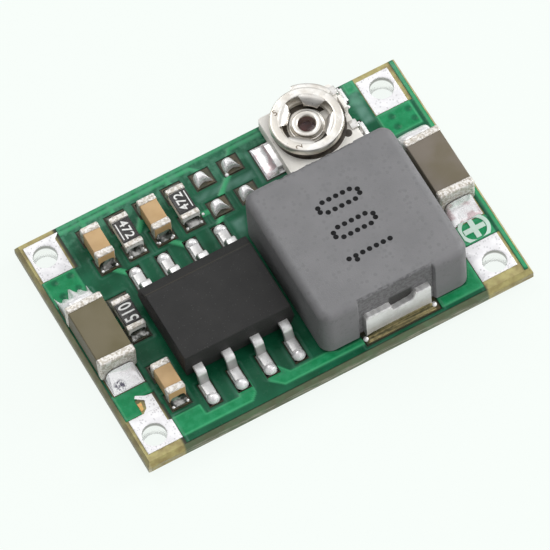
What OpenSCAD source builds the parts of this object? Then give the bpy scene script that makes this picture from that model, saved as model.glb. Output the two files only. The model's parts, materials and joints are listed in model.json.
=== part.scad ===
// Buck converter module: a small green board with a chip, a moulded coil,
// capacitors, resistors and an open-frame trimmer, each as its own piece.
// Units are millimetres. +X runs along the board, +Y to its back edge, +Z up.
// The origin is the centre of the board's underside.

/* [Board] */
// Length of the top face between its scored edges
board_length = 17; // [10:0.1:40]
// Width of the top face between its scored edges
board_width = 11; // [8:0.1:30]
// Whole thickness, mask included
board_thickness = 1; // [0.6:0.05:2]
// How far the snapped web of the score stands out past the faces
web_reach = 0.12; // [0:0.01:0.3]
// Height of the snapped web
web_height = 0.34; // [0.1:0.01:0.6]
// Thickness of the copper foil
foil = 0.035; // [0.018:0.001:0.105]
// Thickness of the mask film
mask_film = 0.03; // [0.01:0.005:0.06]
// How far the mask stops short of the scored edges
mask_setback = 0.02; // [0:0.01:0.2]
// Height of a tinned land above the laminate
land_height = 0.05; // [0.03:0.005:0.1]
// Bare ring of laminate between a land and the mask
mask_gap = 0.12; // [0.03:0.01:0.25]

/* [Corner lands] */
// Radius of the plated wire holes
wire_hole_radius = 0.5; // [0.3:0.05:1]
// Thickness of the plating in the holes
plating = 0.035; // [0.02:0.005:0.06]
// Distance of the left wire holes from the left end
wire_hole_left = 0.73; // [0.6:0.01:2]
// Distance of the right wire holes from the right end
wire_hole_right = 1.03; // [0.6:0.01:2]
// Distance of the wire holes from the long edges
wire_hole_side = 0.95; // [0.7:0.01:2]
// Length of a corner land on the underside
under_land_length = 1.5; // [1:0.05:3]
// Reach of a corner land towards the board's middle, along the board
corner_land_inward = 0.81; // [0.6:0.01:1.5]
// Reach of a corner land towards the nearest end
corner_land_outward = 0.63; // [0.55:0.01:1]
// Reach of a corner land towards the board's middle line
corner_land_depth = 1.03; // [0.6:0.01:1.5]
// Reach of a corner land towards the long edge
corner_land_edge = 0.7; // [0.55:0.01:0.9]

/* [Chip] */
// Middle of the chip along the board
chip_x = -3.125; // [-8:0.005:8]
// Middle of the chip across the board
chip_y = -1.12; // [-5:0.01:5]
// Length of the moulded body
chip_length = 4.9; // [3:0.05:10]
// Width of the moulded body
chip_width = 3.94; // [3:0.02:6]
// Top of the body above the board
chip_top = 1.5; // [0.8:0.05:3]
// Gap under the body
chip_standoff = 0.1; // [0.02:0.01:0.3]
// Height of the parting line above the board
chip_parting = 0.72; // [0.3:0.01:1.5]
// How far each face leans in over its height
chip_draft = 0.1; // [0:0.01:0.2]
// Width of the bevel along the pin one side
chip_bevel = 0.56; // [0:0.01:1]
// Drop of the bevel
chip_bevel_drop = 0.36; // [0:0.01:0.8]
// Distance between leads
lead_pitch = 1.27; // [0.5:0.01:2.54]
// Span over the lead tips
lead_span = 6.1; // [5:0.05:8]
// Width of a lead
lead_width = 0.42; // [0.2:0.01:0.6]
// Thickness of a lead
lead_thickness = 0.2; // [0.1:0.01:0.3]
// Length of a foot
foot_length = 0.6; // [0.3:0.01:1]
// Film of solder under a foot
foot_film = 0.02; // [0:0.005:0.05]
// How deep a lead is held in the moulding
lead_bite = 0.3; // [0.1:0.01:0.5]
// Radius of the ball of solder at a toe
toe_radius = 0.27; // [0.1:0.01:0.4]

/* [Coil] */
// Middle of the coil along the board
coil_x = 2.93; // [-8:0.01:8]
// Middle of the coil across the board
coil_y = -1.6; // [-5:0.01:5]
// Width of the moulded block along the board
coil_length = 6.6; // [3:0.05:12]
// Width of the moulded block across the board
coil_width = 6.6; // [3:0.05:12]
// Top of the block above the board
coil_top = 2.8; // [1:0.05:6]
// Gap under the block
coil_standoff = 0.08; // [0.02:0.01:0.3]
// Radius of the block's upright corners
coil_corner = 0.5; // [0:0.05:1.5]
// Radius of the block's top edges
coil_edge = 0.36; // [0:0.02:1]
// Width of a terminal strip
coil_terminal_width = 2.9; // [1:0.05:5]
// Thickness of a terminal strip
coil_terminal_thickness = 0.2; // [0.1:0.01:0.4]
// Height of a terminal's ears above the board
coil_terminal_top = 1.5; // [0.5:0.05:2.5]
// How far a terminal's face stands out of the block
coil_terminal_reach = 0.1; // [0:0.01:0.3]
// Width of the recess around a terminal
coil_recess_width = 3.36; // [1.5:0.02:6]
// Depth of the recess
coil_recess_depth = 0.16; // [0.05:0.01:0.5]
// Top of the recess above the board
coil_recess_top = 2.5; // [1:0.05:2.7]
// Radius of the marking dots
mark_dot_radius = 0.085; // [0.04:0.005:0.2]
// Depth of the marking dots
mark_dot_depth = 0.04; // [0.01:0.005:0.1]
// Distance between dots along a digit
mark_dot_step = 0.305; // [0.15:0.005:0.6]
// Reach of the solder along a terminal
coil_solder_reach = 0.26; // [0.1:0.01:0.5]
// Radius of the beads at that solder's ends
coil_bead = 0.13; // [0.05:0.01:0.2]
// Distance between the two lands of the coil
coil_land_span = 6.2; // [4:0.05:10]
// Length of such a land
coil_land_length = 1.2; // [0.6:0.02:3]
// Width of such a land
coil_land_width = 3.28; // [1.5:0.02:6]

/* [Large capacitors] */
// Distance of the left capacitor's middle from the left end
left_capacitor_inset = 0.84; // [0.8:0.01:3]
// Middle of the left capacitor across the board
left_capacitor_y = 0; // [-5:0.01:5]
// Distance of the right capacitor's middle from the right end
right_capacitor_inset = 1.04; // [0.8:0.01:3]
// Middle of the right capacitor across the board
right_capacitor_y = -0.15; // [-5:0.01:5]
// Length over the end caps
large_length = 3.2; // [2:0.05:5]
// Width over the end caps
large_width = 1.6; // [0.8:0.05:3]
// Height over the end caps
large_height = 1.24; // [0.5:0.02:2]
// Length of an end cap
large_cap = 0.46; // [0.2:0.02:1]
// Distance between the two lands of a large capacitor
large_land_span = 3.5; // [2.5:0.05:5]
// Length of such a land
large_land_length = 1.12; // [0.6:0.02:2]
// Width of such a land
large_land_width = 1.36; // [0.8:0.02:2]
// Reach of the solder bank at each end
large_solder_reach = 0.68; // [0.2:0.02:1.2]
// Height of that bank
large_solder_rise = 0.7; // [0.2:0.02:1.2]

/* [Small parts] */
// First place of the back row along the board
row_x = -5.8; // [-8:0.01:0]
// Distance of the back row's middle from the back edge
row_inset = 1.72; // [1.2:0.01:4]
// Distance between places in the row
row_pitch = 1.27; // [1:0.01:2.54]
// Middle of the front capacitor along the board
front_capacitor_x = -6.25; // [-8:0.01:8]
// Middle of the front capacitor across the board
front_capacitor_y = -2.92; // [-5:0.01:5]
// Middle of the side resistor along the board
side_resistor_x = -6.2; // [-8:0.01:8]
// Middle of the side resistor across the board
side_resistor_y = 0.47; // [-5:0.01:5]
// Length of a small part
small_length = 1.6; // [0.8:0.05:3]
// Width of a small part
small_width = 0.8; // [0.4:0.02:1.6]
// Height of a small capacitor
small_capacitor_height = 0.8; // [0.3:0.02:1.2]
// Height of a resistor
resistor_height = 0.47; // [0.2:0.01:0.8]
// Length of a small capacitor's end cap
small_cap = 0.36; // [0.1:0.01:0.5]
// Length of a resistor's end cap
resistor_cap = 0.3; // [0.1:0.01:0.5]
// Thickness of an end cap's metal
cap_wall = 0.03; // [0.01:0.005:0.08]
// Film of solder under a small part
part_film = 0.02; // [0:0.005:0.05]
// Distance between the two lands of a place
place_span = 1.45; // [1:0.01:2.5]
// Length of a land
place_land_length = 0.72; // [0.4:0.02:1.5]
// Width of a land
place_land_width = 0.78; // [0.4:0.02:1.5]
// Reach of the solder bank at each end of a small part
small_solder_reach = 0.24; // [0.1:0.01:0.5]
// Height of that bank
small_solder_rise = 0.32; // [0.1:0.01:0.6]
// Height of the solder on a land that carries no part
pillow_rise = 0.26; // [0.1:0.01:0.5]
// Radius of that pillow's dome
pillow_radius = 0.62; // [0.4:0.01:1.5]

/* [Trimmer] */
// Rotor axis along the board
trimmer_x = 3.88; // [-8:0.01:8]
// Distance of the rotor axis from the back edge
trimmer_inset = 1.34; // [1:0.01:4]
// Length of the ceramic base along the board
base_length = 3.3; // [2:0.05:5]
// Width of the ceramic base across the board
base_width = 3; // [2:0.05:5]
// Middle of the base from the rotor axis, along the board
base_shift_x = 0.07; // [-1:0.01:1]
// Middle of the base from the rotor axis, across the board
base_shift_y = -0.24; // [-1:0.01:1]
// Top of the base above the board
base_top = 0.7; // [0.3:0.02:1.5]
// Gap under the base
base_standoff = 0.06; // [0:0.01:0.3]
// Outer radius of the rotor ring
rotor_radius = 1.48; // [1:0.01:2.5]
// Inner radius of the rotor ring
rotor_inner = 1.1; // [0.6:0.01:2]
// Top of the rotor ring above the board
rotor_top = 1.27; // [0.8:0.01:2]
// Thickness of the rotor's sheet
rotor_sheet = 0.08; // [0.04:0.01:0.2]
// Bottom of the rotor's skirt above the board
skirt_bottom = 0.88; // [0.5:0.01:1.5]
// Bottom of the lip inside the ring above the board
lip_bottom = 0.96; // [0.5:0.01:1.5]
// Running gap between the rotor's floor and the base
rotor_lift = 0.05; // [0.02:0.01:0.2]
// Outer radius of the rotor's floor ring
floor_radius = 0.73; // [0.4:0.01:1.2]
// Width of the four openings
slot_width = 0.6; // [0.2:0.02:1]
// Radius of the eyelet's barrel
eyelet_radius = 0.38; // [0.2:0.01:0.8]
// Radius of the eyelet's hole
eyelet_hole = 0.31; // [0.1:0.01:0.6]
// Radius of the eyelet's rolled flange
eyelet_flange = 0.57; // [0.4:0.01:1]
// Running gap between the rotor and the eyelet
eyelet_gap = 0.04; // [0.01:0.01:0.1]
// Outer radius of the rotor's stop tab
tab_radius = 1.68; // [1.5:0.01:2]
// Angle of the stop tab's near side
tab_start = 24; // [0:1:360]
// Angle the stop tab takes up
tab_angle = 62; // [10:1:120]
// Turn of the four openings from the board's axes
slot_turn = 4; // [-45:1:45]
// Thickness of the stop post on the base
stop_thickness = 0.15; // [0.08:0.01:0.3]
// Reach of the stop post in front of the axis
stop_near = 0.3; // [0.1:0.01:0.6]
// Reach of the stop post behind the axis
stop_far = 0.34; // [0.1:0.01:0.6]
// Top of the stop post above the board
stop_top = 1.2; // [0.9:0.01:1.5]
// Distance between the two end terminals
end_terminal_span = 1.76; // [1.2:0.01:3]
// Width of an end terminal
end_terminal_width = 0.48; // [0.2:0.01:0.8]
// How far an end terminal's foot stands out of the base
end_terminal_reach = 0.3; // [0.1:0.01:0.6]
// Width of an end terminal's land
end_land_width = 0.78; // [0.4:0.01:1.2]
// Width of the wiper's terminal strip
wiper_width = 1.14; // [0.5:0.01:2]
// How far the wiper's strip stands out of the base
wiper_reach = 0.3; // [0.1:0.01:0.6]
// Width of the wiper's land
wiper_land_width = 1.52; // [0.8:0.01:2.4]
// Thickness of the wiper's strip
wiper_thickness = 0.195; // [0.1:0.005:0.25]

/* [Show] */
// Which piece to show

/* [Hidden] */

step = 0.01;
skin = foil + mask_film;
lam_top = board_thickness - skin;
top = board_thickness;
land_top = lam_top + land_height;
hx = board_length / 2;
hy = board_width / 2;
hole_xs = [-hx + wire_hole_left, hx - wire_hole_right];
hole_ys = [-hy + wire_hole_side, hy - wire_hole_side];
left_capacitor_x = -hx + left_capacitor_inset;
right_capacitor_x = hx - right_capacitor_inset;
row_y = hy - row_inset;
trimmer_y = hy - trimmer_inset;
lead_xs = [for (i = [0:3]) chip_x + (i - 1.5) * lead_pitch];
tip = lead_span / 2;
heel = tip - foot_length;
chip_land_in = heel - 0.06;
chip_land_out = tip + 0.42;
chip_land_width = 0.52;
row_xs = [for (i = [0:5]) row_x + i * row_pitch];
cap_places = [[row_xs[0], row_y], [row_xs[2], row_y], [front_capacitor_x, front_capacitor_y]];
resistor_places = [[row_xs[1], row_y], [row_xs[3], row_y], [side_resistor_x, side_resistor_y]];
bare_places = [[row_xs[4], row_y], [row_xs[5], row_y]];
places = concat(cap_places, resistor_places, bare_places);
coil_front = coil_y - coil_width / 2;
coil_back = coil_y + coil_width / 2;
base_x = trimmer_x + base_shift_x;
base_y = trimmer_y + base_shift_y;
floor_low = base_top + rotor_lift;
floor_high = floor_low + rotor_sheet;
flange_low = floor_high + 0.02;
flange_high = flange_low + 0.09;
base_left = base_x - base_length / 2;
base_right = base_x + base_length / 2;
end_ys = [trimmer_y - end_terminal_span / 2, trimmer_y + end_terminal_span / 2];
big_places = [[left_capacitor_x, left_capacitor_y], [right_capacitor_x, right_capacitor_y]];

// Rounded oblong as points, so that its corners stay a few flat steps.
function corner(cx, cy, r, a0, n) =
  [for (i = [0:n]) [cx + r * cos(a0 + 90 * i / n), cy + r * sin(a0 + 90 * i / n)]];
function rounded(w, d, r, n) = concat(
  corner(w / 2 - r, d / 2 - r, r, 0, n), corner(-w / 2 + r, d / 2 - r, r, 90, n),
  corner(-w / 2 + r, -d / 2 + r, r, 180, n), corner(w / 2 - r, -d / 2 + r, r, 270, n));
// Square at the bottom, rounded at the top: a side view of a moulded block.
function domed(w, low, high, r, n) = concat([[-w / 2, low], [w / 2, low]],
  corner(w / 2 - r, high - r, r, 0, n), corner(-w / 2 + r, high - r, r, 90, n));
// Points of an upright view moved to a height.
function lifted(points, z) = [for (p = points) [p[0], p[1] + z]];

module block(x0, x1, y0, y1, z0, z1) {
  translate([x0, y0, z0]) cube([x1 - x0, y1 - y0, z1 - z0]);
}

// A view in X and Z, drawn out along Y between y0 and y1.
module along_y(points, y0, y1) {
  translate([0, y1, 0]) rotate([90, 0, 0]) linear_extrude(y1 - y0) polygon(points);
}

// A view in Y and Z, drawn out along X between x0 and x1.
module along_x(points, x0, x1) {
  translate([x0, 0, 0]) rotate([90, 0, 90]) linear_extrude(x1 - x0) polygon(points);
}

// A box with all its edges softened by r.
module soft_box(l, w, h, r, n = 2) {
  intersection() {
    linear_extrude(h) polygon(rounded(l, w, r, n));
    along_y(lifted(rounded(l + step, h, r, n), h / 2), -w, w);
    along_x(lifted(rounded(w + step, h, r, n), h / 2), -l, l);
  }
}

// ---- Board ----

module laminate() {
  low = skin;
  mid0 = board_thickness / 2 - web_height / 2;
  mid1 = board_thickness / 2 + web_height / 2;
  color([0.72, 0.68, 0.45]) difference() {
    intersection() {
      along_y([[-hx, low], [hx, low], [hx + web_reach, mid0], [hx + web_reach, mid1],
        [hx, lam_top], [-hx, lam_top], [-hx - web_reach, mid1], [-hx - web_reach, mid0]],
        -hy - 1, hy + 1);
      along_x([[-hy, low], [hy, low], [hy + web_reach, mid0], [hy + web_reach, mid1],
        [hy, lam_top], [-hy, lam_top], [-hy - web_reach, mid1], [-hy - web_reach, mid0]],
        -hx - 1, hx + 1);
    }
    for (x = hole_xs, y = hole_ys)
      translate([x, y, -1]) cylinder(h = board_thickness + 2, r = wire_hole_radius + plating, $fn = 48);
  }
}

// Where the mask leaves the board bare. Grown by g past the lands.
module openings(g, z0, z1) {
  left = hole_xs[0];
  right = hole_xs[1];
  front = hole_ys[0];
  back = hole_ys[1];
  block(-hx - 1, left + corner_land_inward + g, back - corner_land_depth, hy + 1, z0, z1);
  block(-hx - 1, left + corner_land_inward + g, -hy - 1, front + corner_land_depth, z0, z1);
  block(left + 0.01, left + 0.89, front + 0.95, front + 1.69, z0, z1);
  translate([left, front, z0]) linear_extrude(z1 - z0)
    polygon([[0.6, 1.4], [0.6, 1.74], [0.5, 1.78], [0.14, 1.96], [-0.06, 1.74], [0.1, 1.5]]);
  block(right - corner_land_inward - 0.02, right + corner_land_outward + g + 0.08,
    back - corner_land_depth, hy + 1, z0, z1);
  block(right - corner_land_inward - 0.1, right + corner_land_outward + g + 0.08,
    -hy - 1, front + corner_land_depth + 0.08, z0, z1);
  for (x = lead_xs, s = [-1, 1])
    block(x - chip_land_width / 2 - g, x + chip_land_width / 2 + g,
      min(chip_y + s * (chip_land_in - g), chip_y + s * (chip_land_out + g)),
      max(chip_y + s * (chip_land_in - g), chip_y + s * (chip_land_out + g)), z0, z1);
  for (p = places, s = [-1, 1])
    around(p[0], p[1] + s * place_span / 2, place_land_width, place_land_length, g, z0, z1);
  for (p = big_places, s = [-1, 1])
    around(p[0], p[1] + s * large_land_span / 2, large_land_width, large_land_length, g / 2, z0, z1);
  for (s = [-1, 1])
    around(coil_x + 0.04, coil_y + s * coil_land_span / 2, coil_land_width, coil_land_length, g / 2, z0, z1);
  block(base_left - 0.78 - g, base_left + 0.6 + g, base_y - wiper_land_width / 2 - g,
    base_y + wiper_land_width / 2 + g, z0, z1);
  for (y = end_ys)
    block(base_right - 0.6 - g, base_right + 0.36 + g, y - end_land_width / 2 - g,
      y + end_land_width / 2 + g, z0, z1);
}

// A block round the middle of a land, g wider on every side.
module around(x, y, w, d, g, z0, z1) {
  block(x - w / 2 - g, x + w / 2 + g, y - d / 2 - g, y + d / 2 + g, z0, z1);
}

// A run of copper under the mask, from one point to another.
module run(a, b, w) {
  len = norm(b - a);
  translate([a[0], a[1], 0]) rotate([0, 0, atan2(b[1] - a[1], b[0] - a[0])])
    translate([0, -w / 2, lam_top]) cube([len, w, skin]);
}

module pour(points) {
  translate([0, 0, lam_top]) linear_extrude(skin) polygon(points);
}

module mask_top() {
  rail = hy - 0.33;
  land_hi = hole_ys[1] - corner_land_depth;
  left_hi = large_land_span / 2 + 0.45;
  left_in = hole_xs[0] + corner_land_inward - 0.1;
  right_in = hole_xs[1] - corner_land_inward;
  color([0.13, 0.45, 0.28]) difference() {
    union() {
      block(-hx + mask_setback, hx - mask_setback, -hy + mask_setback, hy - mask_setback,
        lam_top, lam_top + mask_film);
      // beside the left capacitor and its two corner lands
      pour([[-hx + 0.06, left_hi], [left_in, left_hi], [left_in, land_hi], [-hx + 0.06, land_hi]]);
      pour([[-hx + 0.06, -land_hi - 0.03], [left_in + 0.06, -land_hi - 0.03],
        [left_in + 0.06, -left_hi - 0.1], [-hx + 0.06, -left_hi - 0.1]]);
      // broad runs along the front edge
      pour([[-hx + 1.68, -hy + 0.3], [-3.75, -hy + 0.3], [-3.45, -4.9], [-3.45, -4.3], [-4.0, -4.3],
        [-4.1, -4.78], [-5.58, -4.78], [-5.62, -4.28], [-hx + 1.68, -4.28]]);
      pour([[-2.28, -hy + 0.3], [-2.78, -4.75], [-2.78, -4.3], [-2.2, -4.3], [-1.85, -4.76],
        [-0.2, -4.76], [0.2, -4.95], [1.26, -4.95], [1.26, -hy + 0.3]]);
      pour([[4.7, -hy + 0.2], [4.7, -4.9], [6.0, -4.9], [right_in - 0.1, -4.0], [right_in - 0.1, -hy + 0.2]]);
      // beside the right capacitor and its two corner lands
      pour([[right_in, left_hi + 0.18], [hx - 0.36, left_hi + 0.18], [hx - 0.36, land_hi], [right_in, land_hi]]);
      pour([[6.16, hy - 0.55], [right_in - 0.06, hy - 0.55], [right_in - 0.06, hy - 0.06], [6.16, hy - 0.06]]);
      pour([[right_in + 0.2, -land_hi + 0.12], [hx - 0.34, -land_hi + 0.12], [hx - 0.34, -left_hi - 0.16],
        [right_in + 0.2, -left_hi - 0.16]]);
      pour([[hx - 0.16, -hy + 0.1], [hx - 0.04, -hy + 0.1], [hx - 0.04, hy - 0.1], [hx - 0.16, hy - 0.1]]);
      // two rails along the back edge
      pour([[-hx + 1.7, hy - 0.17], [2.22, hy - 0.17], [2.22, hy - 0.04], [-hx + 1.7, hy - 0.04]]);
      run([-hx + 1.7, rail], [-0.98, rail], 0.13);
      run([-1.0, rail + 0.03], [-0.62, rail - 0.35], 0.13);
      run([0.6, rail - 0.32], [0.86, rail + 0.03], 0.13);
      run([0.8, rail], [2.22, rail], 0.13);
      for (i = [0, 1, 3]) run([row_xs[i], rail + 0.03], [row_xs[i], rail - 0.27], 0.2);
      // fine runs between the back row and the chip
      run([row_xs[0] + 0.08, row_y - 1.06], [-5.05, 2.02], 0.2);
      run([row_xs[2] + 0.06, row_y - 1.06], [-2.52, 2.02], 0.2);
      run([row_xs[4] - 0.08, row_y - 1.04], [-1.2, 2.24], 0.2);
      run([row_xs[4] + 0.3, row_y - 0.28], [row_xs[5] - 0.27, row_y + 0.38], 0.2);
      run([row_xs[3] + 0.39, row_y - 0.7], [row_xs[4] - 0.38, row_y - 0.7], 0.2);
      run([row_xs[1] + 0.91, row_y + 0.44], [row_xs[1] + 0.51, row_y - 0.06], 0.2);
    }
    openings(mask_gap, lam_top - 1, board_thickness + 1);
    for (p = [[-hx + 0.47, 3.31], [-hx + 1.17, 3.31], [-hx + 0.5, 2.62], [-hx + 1.2, 2.64],
      [hx - 1.34, 3.2], [hx - 0.58, 3.2], [hx - 1.36, 2.68], [hx - 0.55, 2.7]])
      translate([p[0], p[1], lam_top + mask_film]) cylinder(h = 1, r = 0.15, $fn = 24);
  }
}

module mask_bottom() {
  color([0.13, 0.45, 0.28]) difference() {
    union() {
      block(-hx + mask_setback, hx - mask_setback, -hy + mask_setback, hy - mask_setback,
        foil, skin);
      block(-hx + 0.2, -1.2, -hy + 0.3, hy - 0.3, 0, foil + step);
      block(-0.8, hx - 0.2, -hy + 0.3, hy - 0.3, 0, foil + step);
    }
    for (x = hole_xs, y = hole_ys) {
      g = under_land_length / 2 + mask_gap;
      block(x - g, x + g, y - g, y + g, -1, board_thickness);
    }
  }
}

// One corner's copper: the land, the plating in the hole, the land below.
module corner_land(points, x, y) {
  h = under_land_length / 2;
  color([0.82, 0.82, 0.8]) difference() {
    union() {
      translate([x, y, lam_top]) linear_extrude(land_height) polygon(points);
      translate([x, y, skin - land_height])
        cylinder(h = land_top - skin + land_height, r = wire_hole_radius + plating, $fn = 48);
      block(x - h, x + h, y - h, y + h, skin - land_height, skin);
    }
    translate([x, y, -1]) cylinder(h = board_thickness + 2, r = wire_hole_radius, $fn = 48);
  }
}

module corner_land_back_left() {
  n = corner_land_inward - 0.09;
  e = corner_land_edge;
  d = 0.03 - corner_land_depth;
  o = 0.02 - corner_land_outward;
  corner_land([[o, d], [n, d], [n, e - 0.17], [n + 0.2, e - 0.13], [n + 0.2, e + 0.05], [o, e + 0.05]],
    hole_xs[0], hole_ys[1]);
}

// This land has a forked arm that reaches up the board's side.
module corner_land_front_left() {
  n = corner_land_inward - 0.06;
  e = 0.05 - corner_land_edge;
  d = corner_land_depth - 0.03;
  o = 0.02 - corner_land_outward;
  corner_land([[o, e], [n + 0.16, e], [n + 0.16, d - 0.75], [n, d - 0.7], [n, d + 0.62],
    [0.49, 1.65], [0.13, 1.85], [0.05, 1.74], [0.37, 1.51], [0.27, 1.15], [0.05, d], [o, d]],
    hole_xs[0], hole_ys[0]);
}

module corner_land_back_right() {
  n = 0.02 - corner_land_inward;
  e = corner_land_edge + 0.03;
  d = 0.03 - corner_land_depth;
  o = corner_land_outward + 0.02;
  corner_land([[n, d], [o, d], [o, e], [n, e]], hole_xs[1], hole_ys[1]);
}

module corner_land_front_right() {
  n = -0.06 - corner_land_inward;
  e = 0.13 - corner_land_edge;
  d = corner_land_depth + 0.06;
  o = corner_land_outward + 0.08;
  corner_land([[n, e], [o, e], [o, d], [n, d]], hole_xs[1], hole_ys[0]);
}

module bare_copper_spot() {
  color([0.8, 0.5, 0.28]) translate([hole_xs[0], hole_ys[0], lam_top]) linear_extrude(foil)
    polygon([[0.03, 1.49], [0.22, 1.51], [0.17, 1.17], [0.05, 1.13]]);
}

module polarity_mark() {
  color([0.75, 0.85, 0.78]) translate([hole_xs[1] + 0.03, hole_ys[0] + 1.65, top]) linear_extrude(0.02) {
    intersection() {
      difference() {
        circle(r = 0.66, $fn = 48);
        circle(r = 0.5, $fn = 48);
      }
      translate([-0.6, -0.48]) square([1.3, 0.96]);
    }
    translate([-0.46, -0.11]) square([0.92, 0.22]);
    translate([-0.11, -0.42]) square([0.22, 0.84]);
  }
}

module chip_lands() {
  color([0.85, 0.85, 0.83]) for (x = lead_xs, s = [-1, 1])
    block(x - chip_land_width / 2, x + chip_land_width / 2,
      min(chip_y + s * chip_land_in, chip_y + s * chip_land_out),
      max(chip_y + s * chip_land_in, chip_y + s * chip_land_out), lam_top, land_top);
}

module large_capacitor_lands() {
  color([0.85, 0.85, 0.83]) for (p = big_places, s = [-1, 1])
    around(p[0], p[1] + s * large_land_span / 2, large_land_width, large_land_length, 0, lam_top, land_top);
}

module small_part_lands() {
  color([0.85, 0.85, 0.83]) for (p = places, s = [-1, 1])
    around(p[0], p[1] + s * place_span / 2, place_land_width, place_land_length, 0, lam_top, land_top);
}

module coil_lands() {
  color([0.62, 0.56, 0.36]) for (s = [-1, 1])
    around(coil_x + 0.04, coil_y + s * coil_land_span / 2, coil_land_width, coil_land_length, 0,
      lam_top, land_top);
}

module trimmer_lands() {
  color([0.85, 0.85, 0.83]) {
    block(base_left - 0.78, base_left + 0.6, base_y - wiper_land_width / 2,
      base_y + wiper_land_width / 2, lam_top, land_top);
    for (y = end_ys)
      block(base_right - 0.6, base_right + 0.36, y - end_land_width / 2, y + end_land_width / 2,
        lam_top, land_top);
  }
}

// ---- Chip ----

module lead_shape(s, x, w, inner) {
  f0 = land_top + foot_film;
  t = lead_thickness;
  z = top + chip_parting - t / 2;
  out = chip_width / 2 + 0.26;
  points = [[inner, z], [out - 0.02, z], [heel - 0.02, f0], [tip, f0], [tip, f0 + t],
    [heel + 0.1, f0 + t], [out + 0.12, z + t], [inner, z + t]];
  translate([0, chip_y, 0]) if (s > 0) along_x(points, x - w / 2, x + w / 2);
  else mirror([0, 1, 0]) along_x(points, x - w / 2, x + w / 2);
}

module chip_leads() {
  color([0.86, 0.86, 0.84]) for (x = lead_xs, s = [-1, 1])
    lead_shape(s, x, lead_width, chip_width / 2 - lead_bite);
}

module chip_body() {
  w = chip_width / 2;
  l = chip_length / 2;
  d = chip_draft;
  low = top + chip_standoff;
  part = top + chip_parting;
  high = top + chip_top;
  color([0.2, 0.2, 0.2]) difference() {
    translate([chip_x, chip_y, 0]) intersection() {
      along_x([[-w + d, low], [w - d, low], [w, part], [w - 0.05, high - chip_bevel_drop],
        [w - 0.05 - chip_bevel, high], [-w + d, high], [-w, part]], -l - 1, l + 1);
      along_y([[-l + d, low], [l - d, low], [l, part], [l - d, high], [-l + d, high], [-l, part]],
        -w - 1, w + 1);
    }
    for (x = lead_xs, s = [-1, 1])
      lead_shape(s, x, lead_width, chip_width / 2 - lead_bite);
  }
}

// A toe of solder in front of each foot, with a low bank on either side.
module chip_solder() {
  r = toe_radius;
  color([0.88, 0.88, 0.87]) difference() {
    for (x = lead_xs, s = [-1, 1]) {
      intersection() {
        translate([x, chip_y + s * (tip + 0.12), land_top]) sphere(r = r, $fn = 24);
        block(x - 2 * r, x + 2 * r, chip_y - lead_span, chip_y + lead_span, land_top, top + chip_top);
      }
      block(x - 0.24, x + 0.24, min(chip_y + s * (heel + 0.04), chip_y + s * (tip + 0.1)),
        max(chip_y + s * (heel + 0.04), chip_y + s * (tip + 0.1)), land_top, land_top + 0.09);
    }
    for (x = lead_xs, s = [-1, 1])
      lead_shape(s, x, lead_width, chip_width / 2 - lead_bite);
  }
}

// ---- Coil ----

module coil_shell() {
  low = top + coil_standoff;
  high = top + coil_top;
  intersection() {
    translate([0, 0, low]) linear_extrude(high - low) polygon(rounded(coil_length, coil_width, coil_corner, 3));
    along_y(domed(coil_length + step, low, high, coil_edge, 4), -coil_width, coil_width);
    along_x(domed(coil_width + step, low, high, coil_edge, 4), -coil_length, coil_length);
  }
}

// One digit of the dotted mark: a slim loop, a bar or a hook of dots.
module dot_at(i, j) {
  translate([i * mark_dot_step, j * mark_dot_step * 0.82, top + coil_top - mark_dot_depth])
    cylinder(h = 1, r = mark_dot_radius, $fn = 16);
}

module coil_mark() {
  // one
  translate([-0.11, -1.37, 0]) {
    for (i = [-3:3]) dot_at(i, 0);
    dot_at(-2.1, -0.7);
  }
  // five
  translate([-0.11, -0.16, 0])
    for (p = [[-3, -1], [-3, 0], [-3, 1], [-2, -1], [-1, -1], [0, -1], [0, 0], [0, 1], [1, 1.2],
      [2, 1.2], [3, 0.5], [3, -0.5], [2.4, -1.2]]) dot_at(p[0], p[1]);
  // nought
  translate([-0.11, 1.1, 0]) {
    for (p = [[-3, -0.5], [-3, 0.5], [3, -0.5], [3, 0.5]]) dot_at(p[0], p[1]);
    for (i = [-2:2], s = [-1, 1]) dot_at(i, s);
  }
}

module coil_block() {
  w = coil_recess_width;
  y = coil_width / 2 - coil_recess_depth;
  color([0.5, 0.5, 0.51]) translate([coil_x, coil_y, 0]) difference() {
    coil_shell();
    for (s = [0, 180]) rotate([0, 0, s]) {
      block(-w / 2, w / 2, -coil_width, -y, 0, top + coil_recess_top);
      block(-coil_terminal_width / 2, coil_terminal_width / 2, -coil_width, -y + 1.1,
        0, top + coil_standoff + 0.14);
    }
    coil_mark();
  }
}

// A flat strip that comes down the recess and turns under the block.
module coil_terminals() {
  w = coil_terminal_width / 2;
  t = coil_terminal_thickness;
  face = -coil_width / 2 - coil_terminal_reach;
  z0 = land_top + foot_film;
  z1 = top + coil_terminal_top;
  recess = -coil_width / 2 + coil_recess_depth;
  color([0.84, 0.84, 0.82]) translate([coil_x, coil_y, 0]) for (s = [0, 180]) rotate([0, 0, s]) {
    along_y([[-w, z0], [w, z0], [w, z1], [w - 0.62, z1], [w - 0.86, z1 - 0.34],
      [-w + 1.25, z1 - 0.42], [-w + 1.18, z1 - 0.1], [-w + 0.1, z1]], face, recess);
    block(-w, w, recess, recess + 1.0, z0, top + coil_standoff + 0.14);
  }
}

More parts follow.
